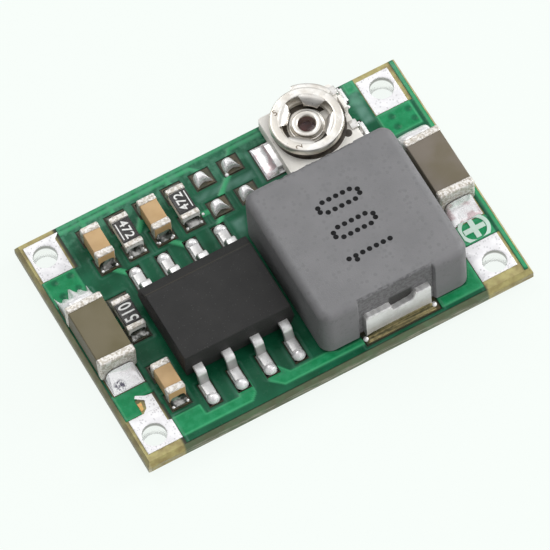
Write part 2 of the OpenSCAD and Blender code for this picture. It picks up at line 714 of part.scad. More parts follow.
module coil_solder() {
  face = coil_width / 2 + coil_terminal_reach;
  w = coil_terminal_width / 2 + 0.05;
  color([0.6, 0.52, 0.32]) translate([coil_x, coil_y, 0]) for (s = [0, 180]) rotate([0, 0, s]) {
    translate([0, -face, land_top]) along_x([[-coil_solder_reach, 0], [0, 0], [0, 0.22], [-0.06, 0.1],
      [-0.15, 0.04]], -w, w);
    for (x = [-w - 0.04, w + 0.04]) intersection() {
      translate([x, -face - 0.03, land_top]) sphere(r = coil_bead, $fn = 16);
      block(-coil_length / 2, coil_length / 2, -face - 1, -face, land_top, land_top + 1);
    }
  }
}

// ---- Chip capacitors and resistors ----

// Ceramic block of a capacitor whose length runs across the board.
module capacitor_block(x, y, l, w, h, film, cap, wall) {
  translate([x, y, land_top + film]) difference() {
    translate([0, 0, wall]) soft_box(w - 2 * wall, l - 2 * wall, h - 2 * wall, 0.06);
  }
}

module capacitor_caps(x, y, l, w, h, film, cap, wall) {
  r = min(0.14, h * 0.16);
  translate([x, y, land_top + film]) for (s = [0, 180]) rotate([0, 0, s]) difference() {
    soft_box(w, l, h, r, 3);
    block(-w, w, -l / 2 + cap, l, -1, h + 1);
    translate([0, 0, wall]) soft_box(w - 2 * wall, l - 2 * wall, h - 2 * wall, 0.06);
  }
}

// A concave bank of solder against the end of a part.
module solder_bank(x, y, s, reach, rise, w) {
  points = [[0, 0], [reach, 0], [reach * 0.55, rise * 0.1], [reach * 0.28, rise * 0.3],
    [reach * 0.1, rise * 0.62], [0, rise]];
  translate([0, y, land_top]) if (s > 0) along_x(points, x - w / 2, x + w / 2);
  else mirror([0, 1, 0]) along_x(points, x - w / 2, x + w / 2);
}

module left_capacitor_block() {
  color([0.5, 0.46, 0.39]) capacitor_block(left_capacitor_x, left_capacitor_y,
    large_length, large_width, large_height, part_film, large_cap, cap_wall);
}

module left_capacitor_end_caps() {
  color([0.8, 0.79, 0.77]) capacitor_caps(left_capacitor_x, left_capacitor_y,
    large_length, large_width, large_height, part_film, large_cap, cap_wall);
}

module right_capacitor_block() {
  color([0.5, 0.46, 0.39]) capacitor_block(right_capacitor_x, right_capacitor_y,
    large_length, large_width, large_height, part_film, large_cap, cap_wall);
}

module right_capacitor_end_caps() {
  color([0.8, 0.79, 0.77]) capacitor_caps(right_capacitor_x, right_capacitor_y,
    large_length, large_width, large_height, part_film, large_cap, cap_wall);
}

module large_capacitor_solder() {
  color([0.88, 0.88, 0.87])
    for (p = big_places, s = [-1, 1])
      solder_bank(p[0], p[1] + s * large_length / 2, s, large_solder_reach, large_solder_rise,
        large_land_width - 0.06);
}

module small_capacitor_blocks() {
  color([0.76, 0.63, 0.43]) for (p = cap_places) capacitor_block(p[0], p[1],
    small_length, small_width, small_capacitor_height, part_film, small_cap, cap_wall);
}

module small_capacitor_end_caps() {
  color([0.8, 0.79, 0.77]) for (p = cap_places) capacitor_caps(p[0], p[1],
    small_length, small_width, small_capacitor_height, part_film, small_cap, cap_wall);
}

module resistor_ceramics() {
  w = small_width - 2 * cap_wall;
  l = small_length - 2 * cap_wall;
  z = land_top + part_film + cap_wall;
  color([0.85, 0.85, 0.82]) for (p = resistor_places)
    block(p[0] - w / 2, p[0] + w / 2, p[1] - l / 2, p[1] + l / 2, z,
      land_top + part_film + resistor_height - 2 * cap_wall);
}

module resistor_coats() {
  w = small_width - 2 * cap_wall;
  l = small_length - 2 * resistor_cap;
  z = land_top + part_film + resistor_height - 2 * cap_wall;
  color([0.12, 0.12, 0.12]) for (p = resistor_places)
    block(p[0] - w / 2, p[0] + w / 2, p[1] - l / 2, p[1] + l / 2, z, z + 1.6 * cap_wall);
}

module resistor_end_caps() {
  w = small_width;
  l = small_length;
  z0 = land_top + part_film;
  z1 = z0 + resistor_height;
  color([0.8, 0.79, 0.77]) for (p = resistor_places) translate([p[0], p[1], 0]) difference() {
    block(-w / 2, w / 2, -l / 2, l / 2, z0, z1);
    block(-w, w, -l / 2 + resistor_cap, l / 2 - resistor_cap, 0, z1 + 1);
    block(-w / 2 + cap_wall, w / 2 - cap_wall, -l / 2 + cap_wall, l / 2 - cap_wall,
      z0 + cap_wall, z1 - 2 * cap_wall);
  }
}

module small_part_solder() {
  color([0.88, 0.88, 0.87]) {
    for (p = cap_places, s = [-1, 1])
      solder_bank(p[0], p[1] + s * small_length / 2, s, small_solder_reach,
        small_solder_rise, small_width - 0.1);
    for (p = resistor_places, s = [-1, 1])
      solder_bank(p[0], p[1] + s * small_length / 2, s, small_solder_reach,
        small_solder_rise - 0.02, small_width - 0.1);
  }
}

// A pillow of solder on each land that carries no part.
module bare_land_solder() {
  r = pillow_radius;
  rise = pillow_rise;
  color([0.88, 0.88, 0.87]) for (p = bare_places, s = [-1, 1]) intersection() {
    translate([p[0], p[1] + s * place_span / 2, land_top + rise - r]) sphere(r = r, $fn = 48);
    block(p[0] - place_land_width / 2, p[0] + place_land_width / 2,
      p[1] + s * place_span / 2 - place_land_length / 2,
      p[1] + s * place_span / 2 + place_land_length / 2, land_top, top + 1);
  }
}

// ---- Trimmer ----

module trimmer_base() {
  l = base_length / 2;
  w = base_width / 2;
  z0 = top + base_standoff;
  z1 = top + base_top;
  color([0.86, 0.84, 0.78]) difference() {
    union() {
      translate([base_x, base_y, z0]) linear_extrude(z1 - z0) polygon(rounded(l * 2, w * 2, 0.12, 2));
      block(base_x + l - stop_thickness, base_x + l, trimmer_y - stop_near, trimmer_y + stop_far,
        z1 - 0.1, top + stop_top);
    }
    translate([trimmer_x, trimmer_y, 0]) cylinder(h = 5, r = eyelet_radius + 0.01, $fn = 48);
    translate([trimmer_x, trimmer_y, 0]) cylinder(h = z0 + 0.1, r = eyelet_flange + 0.01, $fn = 48);
    translate([trimmer_x, trimmer_y, z1 - 0.02]) track_ring(0.4);
    for (y = end_ys) block(base_right - 0.24, base_right + 1, y - end_terminal_width / 2,
      y + end_terminal_width / 2, 0, z1 - 0.12);
    block(base_left - 1, trimmer_x - eyelet_flange + 0.1, base_y - wiper_width / 2,
      base_y + wiper_width / 2, 0, land_top + foot_film + wiper_thickness);
  }
}

// The resistive track: a horseshoe, open towards the two end terminals.
module track_ring(h) {
  difference() {
    cylinder(h = h, r = 1.3, $fn = 48);
    translate([0, 0, -1]) cylinder(h = h + 2, r = 0.8, $fn = 48);
    block(0.4, 2, -0.3, 0.3, -1, h + 1);
  }
}

module trimmer_track() {
  color([0.1, 0.09, 0.08]) translate([trimmer_x, trimmer_y, top + base_top - 0.02]) track_ring(0.02);
}

// Strip under the left end, from beside the eyelet out to its land.
module trimmer_wiper_terminal() {
  z0 = land_top + foot_film;
  color([0.84, 0.84, 0.82])
    block(base_left - wiper_reach, trimmer_x - eyelet_flange - 0.02, base_y - wiper_width / 2,
      base_y + wiper_width / 2, z0, z0 + wiper_thickness);
}

// Two clips that hold the track's ends and come down the right side.
module trimmer_end_terminals() {
  e = base_right;
  r = end_terminal_reach;
  z0 = land_top + foot_film;
  z1 = top + base_top - 0.12;
  color([0.84, 0.84, 0.82]) for (y = end_ys)
    along_y([[e - 0.24, z0], [e + r, z0], [e + r, z0 + 0.12], [e + r * 0.45, z0 + 0.2],
      [e + 0.1, z1], [e - 0.24, z1]], y - end_terminal_width / 2, y + end_terminal_width / 2);
}

module trimmer_solder() {
  w = base_left - wiper_reach;
  e = base_right + end_terminal_reach;
  color([0.88, 0.88, 0.87]) {
    along_y([[w, land_top], [w, land_top + 0.2], [w - 0.15, land_top + 0.09], [w - 0.36, land_top]],
      base_y - wiper_land_width / 2 + 0.08, base_y + wiper_land_width / 2 - 0.08);
    for (y = end_ys)
      along_y([[e, land_top], [e + 0.06, land_top], [e + 0.03, land_top + 0.1],
        [e, land_top + 0.14]], y - end_terminal_width / 2, y + end_terminal_width / 2);
  }
}

module trimmer_eyelet() {
  low = top + base_standoff;
  color([0.86, 0.84, 0.78]) translate([trimmer_x, trimmer_y, 0]) rotate_extrude($fn = 48)
    polygon([[eyelet_hole, low + 0.01], [eyelet_flange, low + 0.01], [eyelet_flange, low + 0.1],
      [eyelet_radius, low + 0.1], [eyelet_radius, top + flange_low], [eyelet_flange - 0.04, top + flange_low],
      [eyelet_flange, top + flange_low + 0.03], [eyelet_flange - 0.05, top + flange_high - 0.02],
      [eyelet_flange - 0.11, top + flange_high], [eyelet_hole + 0.08, top + flange_high],
      [eyelet_hole, top + flange_high - 0.08]]);
}

// A stamped cup: ring, outer skirt, inner lip, four sloping petals and a floor.
module trimmer_rotor() {
  t = rotor_sheet;
  bore = eyelet_radius + eyelet_gap;
  z1 = top + rotor_top;
  color([0.87, 0.86, 0.82]) translate([trimmer_x, trimmer_y, 0]) rotate([0, 0, slot_turn])
    union() {
      // ring with its skirt and lip
      rotate_extrude($fn = 72) polygon([[rotor_inner, top + lip_bottom], [rotor_inner + t, top + lip_bottom],
        [rotor_inner + t, z1 - t], [rotor_radius - t - 0.04, z1 - t], [rotor_radius - t, z1 - t - 0.05],
        [rotor_radius - t + 0.04, top + skirt_bottom], [rotor_radius + 0.04, top + skirt_bottom],
        [rotor_radius, z1 - 0.06], [rotor_radius - 0.05, z1], [rotor_inner + 0.04, z1],
        [rotor_inner, z1 - 0.04]]);
      // floor ring
      rotate_extrude($fn = 48) polygon([[bore, top + floor_low], [floor_radius, top + floor_low],
        [floor_radius, top + floor_high], [bore, top + floor_high]]);
      // petals
      difference() {
        rotate_extrude($fn = 72) polygon([[floor_radius - 0.06, top + floor_low],
          [floor_radius + 0.02, top + floor_low], [rotor_inner + t / 2, z1 - t - 0.1],
          [rotor_inner + t / 2, z1 - 0.06], [rotor_inner - 0.1, z1 - 0.08],
          [floor_radius + 0.1, top + floor_high + 0.12], [floor_radius - 0.06, top + floor_high]]);
        for (a = [0:90:270]) rotate([0, 0, a])
          block(floor_radius + 0.02, rotor_inner, -slot_width / 2, slot_width / 2, 0, 9);
      }
      // stop tab
      rotate([0, 0, tab_start - slot_turn]) intersection() {
        difference() {
          translate([0, 0, z1 - 0.14]) cylinder(h = 0.08, r = tab_radius, $fn = 72);
          cylinder(h = 9, r = rotor_radius - 0.04, $fn = 72);
        }
        linear_extrude(9) polygon([[0, 0], [9, 0], [9 * cos(tab_angle / 2), 9 * sin(tab_angle / 2)],
          [9 * cos(tab_angle), 9 * sin(tab_angle)]]);
      }
    }
}

laminate();
mask_top();
mask_bottom();
corner_land_back_left();
corner_land_front_left();
corner_land_back_right();
corner_land_front_right();
bare_copper_spot();
polarity_mark();
chip_lands();
large_capacitor_lands();
small_part_lands();
coil_lands();
trimmer_lands();
chip_body();
chip_leads();
chip_solder();
coil_block();
coil_terminals();
coil_solder();
left_capacitor_block();
left_capacitor_end_caps();
right_capacitor_block();
right_capacitor_end_caps();
large_capacitor_solder();
small_capacitor_blocks();
small_capacitor_end_caps();
resistor_ceramics();
resistor_coats();
resistor_end_caps();
small_part_solder();
bare_land_solder();
trimmer_base();
trimmer_track();
trimmer_wiper_terminal();
trimmer_end_terminals();
trimmer_solder();
trimmer_eyelet();
trimmer_rotor();
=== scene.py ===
"""A buck converter module: a small green board that steps a voltage down.

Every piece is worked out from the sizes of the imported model, dressed in its own finish, and left
in the place where the model has it. Lengths in this file are millimetres until a mesh is made.
"""

# %% [markdown]
# # The frame
# The imported model is the fixed frame: every solid of the module is already in place there, in
# metres. This file only adds finer surfaces and finishes, so it starts by loading that frame.

# %% Load the frame
import json
import math
import bmesh
import bpy
import numpy as np
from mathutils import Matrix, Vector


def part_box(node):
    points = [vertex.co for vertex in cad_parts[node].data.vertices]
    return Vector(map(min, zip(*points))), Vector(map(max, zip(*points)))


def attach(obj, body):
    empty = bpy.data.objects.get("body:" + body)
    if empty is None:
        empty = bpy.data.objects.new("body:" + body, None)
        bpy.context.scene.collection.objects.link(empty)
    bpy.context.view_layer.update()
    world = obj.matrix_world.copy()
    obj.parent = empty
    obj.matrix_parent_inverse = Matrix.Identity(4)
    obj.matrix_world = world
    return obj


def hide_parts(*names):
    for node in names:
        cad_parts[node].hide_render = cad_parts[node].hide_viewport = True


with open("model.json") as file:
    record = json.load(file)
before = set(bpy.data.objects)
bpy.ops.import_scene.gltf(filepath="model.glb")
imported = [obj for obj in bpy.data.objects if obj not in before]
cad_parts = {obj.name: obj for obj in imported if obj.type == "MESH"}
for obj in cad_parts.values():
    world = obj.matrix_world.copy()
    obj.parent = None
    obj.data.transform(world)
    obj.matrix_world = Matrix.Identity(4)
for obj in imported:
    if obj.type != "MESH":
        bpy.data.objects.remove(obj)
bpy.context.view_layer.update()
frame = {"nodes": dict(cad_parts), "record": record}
MM = 0.001

# %% [markdown]
# # Reading the frame
# Lands, leads and end caps come in sets, and each set is one node of separate solids. To put a
# finer surface where a solid is, its box is needed. Points that share a triangle belong together,
# so a label that spreads over the triangles until nothing changes tells the solids apart.

# %% Boxes of the separate solids in a node
def corners(node):
    """Lowest and highest corner of a node, in millimetres."""
    low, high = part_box(node)
    return np.array(low) / MM, np.array(high) / MM


def solids(node):
    """Boxes of a node's separate solids: equal points are merged, then the lowest label of each
    triangle is given to its corners, over and over, until every solid has one label."""
    mesh = frame["nodes"][node].data
    mesh.calc_loop_triangles()
    at = np.empty(len(mesh.vertices) * 3, np.float32)
    mesh.vertices.foreach_get("co", at)
    tri = np.empty(len(mesh.loop_triangles) * 3, np.int32)
    mesh.loop_triangles.foreach_get("vertices", tri)
    at = at.reshape(-1, 3) / MM
    _, merged = np.unique(np.round(at, 4), axis=0, return_inverse=True)
    tri = merged.reshape(-1)[tri].reshape(-1, 3)
    label = np.arange(merged.max() + 1)
    while True:
        spread = label.copy()
        np.minimum.at(spread, tri, np.repeat(spread[tri].min(1)[:, None], 3, 1))
        if np.array_equal(spread, label):
            break
        label = spread
    owner = label[merged.reshape(-1)]
    found = [(at[owner == k].min(0), at[owner == k].max(0)) for k in np.unique(owner)]
    return sorted(found, key=lambda b: (round(b[0][0], 2), round(b[0][1], 2)))


def middle(box):
    """Middle of a solid's box."""
    return (box[0] + box[1]) / 2


big_lands = solids("large_capacitor_lands")
print("large capacitor lands:", [np.round(middle(box), 2).tolist() for box in big_lands])

# %% [markdown]
# # From points to pieces
# A piece is a mesh whose points are already in place, so its object stays at the origin. One
# helper makes the mesh and rounds the shading where faces meet gently. Another gives it a finish,
# the body that it rides on and the node that it stands for. Most finishes have the name of their
# slot; the few that dress only a part of one are listed.

# %% Make a piece
finishes = {}


def placed(name, mesh, finish, body, instead):
    """An object at the origin for a mesh whose points are already in place. It takes its finish, the
    body that it rides on, and the node that it stands for, if there is one."""
    made = bpy.data.objects.new(name, mesh)
    bpy.context.scene.collection.objects.link(made)
    mesh.materials.append(finishes[finish])
    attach(made, body)
    if instead:
        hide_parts(instead)
    print(f"{name}: {len(mesh.vertices)} points, {len(mesh.polygons)} faces")
    return made


def piece(name, shape, finish, instead="", body="board", sharp=60, tones=None):
    """A piece from a shape: points in millimetres, and faces as rows of point numbers. Edges that
    turn by more than sharp degrees stay crisp; tones are three masks, one row for each point."""
    points, faces = shape
    mesh = bpy.data.meshes.new(name)
    mesh.from_pydata((np.asarray(points, float) * MM).tolist(), [], [list(map(int, f)) for f in faces])
    mesh.update()
    mesh.polygons.foreach_set("use_smooth", np.ones(len(mesh.polygons), bool))
    mesh.set_sharp_from_angle(angle=math.radians(sharp))
    if tones is not None:
        layer = mesh.attributes.new("tones", "FLOAT_COLOR", "POINT")
        layer.data.foreach_set("color", np.column_stack([tones, np.ones(len(tones))]).ravel())
    return placed(name, mesh, finish, body, instead)


# %% Join several shapes into one
def joined(shapes):
    """One shape from many: each list of faces is shifted by the points before it."""
    points, faces, start = [], [], 0
    for p, f in shapes:
        points.append(np.asarray(p, float))
        faces += [np.asarray(face) + start for face in f]
        start += len(p)
    return np.concatenate(points), faces


print("two triangles joined:", [np.asarray(f).tolist() for f in joined([(np.eye(3), [(0, 1, 2)])] * 2)[1]])

# %% [markdown]
# # Three ways to make a surface
# Nearly everything on the module is one of three kinds. A moulded block is a stack of rounded
# rectangles that change from level to level. A drawn or rolled part is a profile turned round an
# axis. A bent strip is a section carried along a path. Each is a grid of points, rows by columns,
# so one rule for the faces serves all three.

# %% Faces of a grid
def grid_faces(rows, columns, round_columns=False, round_rows=False):
    """Four-sided faces between neighbours of a grid, joined up across an end where asked."""
    i = np.arange(rows if round_rows else rows - 1)[:, None]
    j = np.arange(columns if round_columns else columns - 1)[None, :]
    a, b = i % rows * columns, (i + 1) % rows * columns
    c, d = j % columns, (j + 1) % columns
    return np.stack([a + c, a + d, b + d, b + c], -1).reshape(-1, 4)


def paired(*values):
    """Points from their coordinates; a coordinate that is one number is the same for all."""
    return np.column_stack(np.broadcast_arrays(*values))


def rectangle(x0, x1, y0, y1):
    """The four corners of a rectangle, anticlockwise."""
    return [(x0, y0), (x1, y0), (x1, y1), (x0, y1)]


print("a grid of 3 by 4 points has", len(grid_faces(3, 4)), "faces")

# %% A stack of levels
def rounded_rectangle(x0, x1, y0, y1, r, steps=6):
    """Points round a rectangle: each corner is a quarter circle of radius r about a point r inside."""
    turn = np.linspace(0, np.pi / 2, steps + 1)
    angle = np.concatenate([turn + q * np.pi / 2 for q in range(4)])
    cx = np.repeat([x1 - r, x0 + r, x0 + r, x1 - r], steps + 1)
    cy = np.repeat([y1 - r, y1 - r, y0 + r, y0 + r], steps + 1)
    return np.column_stack([cx + r * np.cos(angle), cy + r * np.sin(angle)])


def at_height(flat, z):
    """Points in a plane, given the height z."""
    return np.column_stack([flat, np.full(len(flat), z)])


def level(x0, x1, y0, y1, z, r, steps=6):
    """One ring of a stack: a rounded rectangle at height z."""
    return at_height(rounded_rectangle(x0, x1, y0, y1, r, steps), z)


def stacked(rings):
    """A closed block from rings of equal length, lowest first, with a flat face at either end."""
    count = len(rings[0])
    low = np.arange(count)[::-1]
    high = np.arange(count) + (len(rings) - 1) * count
    return np.concatenate(rings), [*grid_faces(len(rings), count, round_columns=True), low, high]


def soft_block(box, side, edge, steps=4):
    """A block with rounded upright corners of radius side and a rounded top: at an angle t the top
    has drawn in by edge * (1 - cos t) and climbed by edge * sin t."""
    (x0, y0, z0), (x1, y1, z1) = box
    least_radius = 0.004
    rings = [level(x0, x1, y0, y1, z0, side)]
    for t in np.linspace(0, np.pi / 2, steps + 1):
        inset = edge * (1 - math.cos(t))
        z = z1 - edge + edge * math.sin(t)
        r = max(side - inset, least_radius)
        rings.append(level(x0 + inset, x1 - inset, y0 + inset, y1 - inset, z, r))
    return stacked(rings)


print("a soft block of one millimetre has", len(soft_block(((0, 0, 0), (1, 1, 1)), 0.2, 0.1)[0]), "points")

# %% A profile turned round an upright axis
def turned(profile, x, y, count=96, closed=True):
    """Radius and height pairs, carried once round the axis at x, y. The pairs go anticlockwise
    when radius points right and height points up, so that faces look outwards."""
    profile = np.asarray(profile, float)
    angle = np.linspace(0, 2 * np.pi, count, endpoint=False)
    r = profile[:, :1]
    z = np.broadcast_to(profile[:, 1:], (len(profile), count))
    points = np.stack([x + r * np.cos(angle), y + r * np.sin(angle), z], -1)
    return points.reshape(-1, 3), list(grid_faces(len(profile), count, True, closed))


def rounded_profile(profile, times=2):
    """Cuts every corner of a closed profile at a quarter of its sides, a few times over."""
    p = np.asarray(profile, float)
    for _ in range(times):
        q = np.roll(p, -1, axis=0)
        p = np.stack([0.75 * p + 0.25 * q, 0.25 * p + 0.75 * q], 1).reshape(-1, 2)
    return p


def bead(x, y, base, r, tall=0.8, steps=7, count=18, pole=0.0005):
    """A round drop of solder: a quarter of an ellipse, of radius r and tall * r high, turned round."""
    turn = np.linspace(0, np.pi / 2, steps)
    side = np.column_stack([r * np.cos(turn), base + tall * r * np.sin(turn)])
    profile = np.concatenate([[(pole, base)], side[:-1], [(pole, base + tall * r)]])
    return turned(profile, x, y, count, False)


print("a bead of solder has", len(bead(0, 0, 0, 0.1)[0]), "points")

# %% A section carried along a path
def eased(path, radii, steps=5):
    """Softens the inner corners of a path: each becomes a curve that leaves and reaches it at the
    given distance, drawn as a quadratic through the corner."""
    path = np.asarray(path, float)
    t = np.linspace(0, 1, steps + 1)[:, None]
    out = [path[:1]]
    for before, corner, after, r in zip(path[:-2], path[1:-1], path[2:], radii):
        a = corner + (before - corner) / np.linalg.norm(before - corner) * r
        b = corner + (after - corner) / np.linalg.norm(after - corner) * r
        out.append((1 - t) ** 2 * a + 2 * t * (1 - t) * corner + t ** 2 * b)
    return np.concatenate([*out, path[-1:]])


def strip(path, x0, x1, thick, edge=0.03):
    """A flat strip from x0 to x1 whose middle line runs along a path in y and z: a rounded
    rectangle set square to the path at each of its points."""
    path = np.asarray(path, float)
    along = np.gradient(path, axis=0)
    along /= np.linalg.norm(along, axis=1)[:, None]
    up = np.column_stack([-along[:, 1], along[:, 0]])
    ring = rounded_rectangle(x0, x1, -thick / 2, thick / 2, edge, 2)
    rows = [np.column_stack([ring[:, 0], np.outer(ring[:, 1], u) + p]) for p, u in zip(path, up)]
    points, faces = stacked(rows)
    return points, [f[::-1] for f in faces]


print("a path with one soft corner has", len(eased([(0, 0), (1, 0), (1, 1)], [0.2])), "points")

# %% [markdown]
# # The studio
# The module is seen through a long lens from the front left and well above, on a white sweep.
# Small bright metal shows what stands round it more than it shows the lamps, so the world is a pale
# dome, brightest overhead and dim near the ground, with one dark card where a lens would be. Rays
# that go straight to the lens, or off metal towards the sweep, find plain white.

# %% Camera
lens = bpy.data.cameras.new("long_lens")
lens.lens, lens.clip_start, lens.clip_end = 431.7, 0.01, 10
camera = bpy.data.objects.new("camera", lens)
camera.location = (-0.05107, -0.11381, 0.22929)
camera.rotation_euler = [math.radians(a) for a in (28.392, 2.531, -28.849)]
bpy.context.scene.collection.objects.link(camera)
bpy.context.scene.camera = camera
bpy.context.scene.view_settings.view_transform = "Standard"
print("camera at", [round(c, 4) for c in camera.location])


# %% Node helpers
def add(tree, kind, inputs=None, **settings):
    """One node, its settings and its inputs: a value is set, a socket is linked."""
    made = tree.nodes.new(kind)
    for key, value in settings.items():
        setattr(made, key, value)
    for key, value in (inputs or {}).items():
        if isinstance(value, bpy.types.NodeSocket):
            tree.links.new(value, made.inputs[key])
        else:
            made.inputs[key].default_value = value
    return made


def maths(tree, operation, a, b=0.0):
    """One step of arithmetic on values or sockets."""
    return add(tree, "ShaderNodeMath", {0: a, 1: b}, operation=operation).outputs[0]


def times(tree, first, *others):
    """Masks multiplied together."""
    for other in others:
        first = maths(tree, "MULTIPLY", first, other)
    return first


def blended(tree, factor, a, b, how="MIX"):
    """Colour a turned towards colour b by the factor."""
    a, b = (c if isinstance(c, bpy.types.NodeSocket) else (*c, 1) for c in (a, b))
    made = add(tree, "ShaderNodeMix", {0: factor, 6: a, 7: b}, data_type="RGBA", blend_type=how)
    return made.outputs[2]


def ramp(tree, value, low, high, to_low=0.0, to_high=1.0, smooth=True):
    """A value between low and high, carried over to between to_low and to_high."""
    kind = "SMOOTHSTEP" if smooth else "LINEAR"
    inputs = {0: value, 1: low, 2: high, 3: to_low, 4: to_high}
    return add(tree, "ShaderNodeMapRange", inputs, interpolation_type=kind).outputs[0]


# %% World
sweep_white = (0.94, 0.99, 0.955, 1)


def only(tree, kind, source):
    """Empties a tree and puts in its output, fed by the socket that source works out."""
    tree.nodes.clear()
    add(tree, kind, {0: source(tree)})


def pale_dome(tree):
    """Brightness is the height's ramp, times a ramp for each thing that stands round the module;
    how near a ray comes to one is the dot product of the two directions."""
    where = add(tree, "ShaderNodeTexCoord").outputs["Generated"]
    height = add(tree, "ShaderNodeSeparateXYZ", {0: where}).outputs["Z"]
    bright = [ramp(tree, height, -0.1, 0.95, 0.20, 0.92)]
    dark_card = ((-0.195, -0.435, 0.879), 0.955, 0.985, 1.0, 0.10)
    dim_front = ((-0.25, -0.9, 0.28), 0.75, 0.97, 1.0, 0.45)
    bright_right = ((1.0, -0.25, 0.0), -0.9, 0.9, 0.55, 1.35)
    for direction, *limits in (dark_card, dim_front, bright_right):
        unit = tuple(np.array(direction) / np.linalg.norm(direction))
        near = add(tree, "ShaderNodeVectorMath", {0: where, 1: unit}, operation="DOT_PRODUCT")
        bright.append(ramp(tree, near.outputs["Value"], *limits))
    path = add(tree, "ShaderNodeLightPath")
    studio = {"Color": (0.97, 0.985, 1.0, 1), "Strength": times(tree, *bright)}
    studio = add(tree, "ShaderNodeBackground", studio)
    plain = add(tree, "ShaderNodeBackground", {"Color": sweep_white, "Strength": 1.0})
    seen = {0: path.outputs["Is Camera Ray"], 1: studio.outputs[0], 2: plain.outputs[0]}
    return add(tree, "ShaderNodeMixShader", seen).outputs[0]


world = bpy.data.worlds.new("pale_dome")
bpy.context.scene.world = world
world.use_nodes = True
only(world.node_tree, "ShaderNodeOutputWorld", pale_dome)
print("world:", len(world.node_tree.nodes), "nodes")


# %% Lamps
def soft_lamp(name, place, size, power):
    """A square lamp at a place in metres, turned to face the module."""
    data = bpy.data.lights.new(name, "AREA")
    data.shape, data.size, data.energy = "SQUARE", size, power
    lamp = bpy.data.objects.new(name, data)
    lamp.location = place
    away = np.array(place) / np.linalg.norm(place)
    lamp.rotation_euler = (math.acos(away[2]), 0, math.atan2(away[1], away[0]) + math.pi / 2)
    bpy.context.scene.collection.objects.link(lamp)
    return lamp


soft_lamp("back_light", (-0.08, 0.26, 0.30), 0.22, 0.50)
soft_lamp("right_light", (0.34, -0.02, 0.13), 0.18, 0.74)
fill = soft_lamp("front_fill", (0.06, -0.36, 0.11), 0.24, 0.66)
fill.visible_glossy = False


# %% Floor
def white_sweep(tree):
    """A nearly black matt that takes the module's shadow, under a glow that only rays to the lens,
    off metal or through glass can see."""
    path = add(tree, "ShaderNodeLightPath").outputs
    by_metal = maths(tree, "MAXIMUM", path["Is Glossy Ray"], path["Is Transmission Ray"])
    glow = times(tree, maths(tree, "MAXIMUM", path["Is Camera Ray"], by_metal), 0.925)
    matt = add(tree, "ShaderNodeBsdfDiffuse", {"Color": (0.062, 0.065, 0.063, 1)})
    glow = add(tree, "ShaderNodeEmission", {"Color": sweep_white, "Strength": glow})
    return add(tree, "ShaderNodeAddShader", {0: matt.outputs[0], 1: glow.outputs[0]}).outputs[0]


far, just_below = 3.0, -2e-5
floor_mesh = bpy.data.meshes.new("floor")
floor_corners = [(x, y, just_below) for x, y in rectangle(-far, far, -far, far)]
floor_mesh.from_pydata(floor_corners, [], [(0, 1, 2, 3)])
floor = bpy.data.objects.new("floor", floor_mesh)
bpy.context.scene.collection.objects.link(floor)
white = bpy.data.materials.new("white_sweep")
white.use_nodes = True
only(white.node_tree, "ShaderNodeOutputMaterial", white_sweep)
floor_mesh.materials.append(white)
print("floor is stage, not part of the module")

# %% [markdown]
# # Effects that many finishes share
# Plating, ceramic and moulding all have a grain too fine to model, and flecks where the plating
# pulled away or dust was pressed in. They are node groups, built once. They read Object
# coordinates, turned into millimetres, so a scale of ten means ten grains to the millimetre.

# %% A shared effect
def effect(name, inputs, output, build):
    """A node group with a vector and named numbers for inputs and one mask for output; build works
    the mask out from the place in millimetres and the inputs."""
    tree = bpy.data.node_groups.new(name, "ShaderNodeTree")
    tree.interface.new_socket("Vector", in_out="INPUT", socket_type="NodeSocketVector")
    for key, value in inputs.items():
        socket = tree.interface.new_socket(key, in_out="INPUT", socket_type="NodeSocketFloat")
        socket.default_value = value
    tree.interface.new_socket(output, in_out="OUTPUT", socket_type="NodeSocketFloat")
    given = tree.nodes.new("NodeGroupInput").outputs
    end = tree.nodes.new("NodeGroupOutput").inputs
    in_mm = add(tree, "ShaderNodeVectorMath", {0: given["Vector"], 3: 1 / MM}, operation="SCALE").outputs[0]
    tree.links.new(build(tree, in_mm, given), end[output])
    return tree


def use(tree, group, vector, **values):
    """A shared effect placed in a material with its own values."""
    made = tree.nodes.new("ShaderNodeGroup")
    made.node_tree = group
    tree.links.new(vector, made.inputs["Vector"])
    for key, value in values.items():
        made.inputs[key].default_value = value
    return made.outputs[0]


# %% Grain, flecks and patches
def grain_mask(tree, at, given):
    """Fractal noise, stretched so that it fills nought to one."""
    inputs = {"Vector": at, "Scale": given["Scale"], "Detail": 4.0, "Roughness": given["Roughness"]}
    noise = add(tree, "ShaderNodeTexNoise", inputs)
    return ramp(tree, noise.outputs[0], 0.28, 0.72, smooth=False)


def fleck_mask(tree, at, given):
    """Cells of which a share, Cover, get a spot of radius 0.42 with a soft edge about its middle."""
    inputs = {"Vector": at, "Scale": given["Scale"], "Randomness": 1.0}
    cells = add(tree, "ShaderNodeTexVoronoi", inputs).outputs
    chance = add(tree, "ShaderNodeSeparateColor", {0: cells["Color"]}).outputs["Red"]
    radius = times(tree, maths(tree, "GREATER_THAN", given["Cover"], chance), 0.42)
    past_edge = maths(tree, "SUBTRACT", cells["Distance"], radius)
    return maths(tree, "SUBTRACT", 1.0, ramp(tree, past_edge, -0.12, 0.06))


def patch_mask(tree, at, given):
    """Soft noise cut at a half, with an edge as soft as Edge says."""
    inputs = {"Vector": at, "Scale": given["Scale"], "Detail": 2.5, "Roughness": 0.55}
    cloud = add(tree, "ShaderNodeTexNoise", inputs).outputs[0]
    low = maths(tree, "SUBTRACT", 0.5, given["Edge"])
    return ramp(tree, cloud, low, maths(tree, "ADD", 0.5, given["Edge"]))


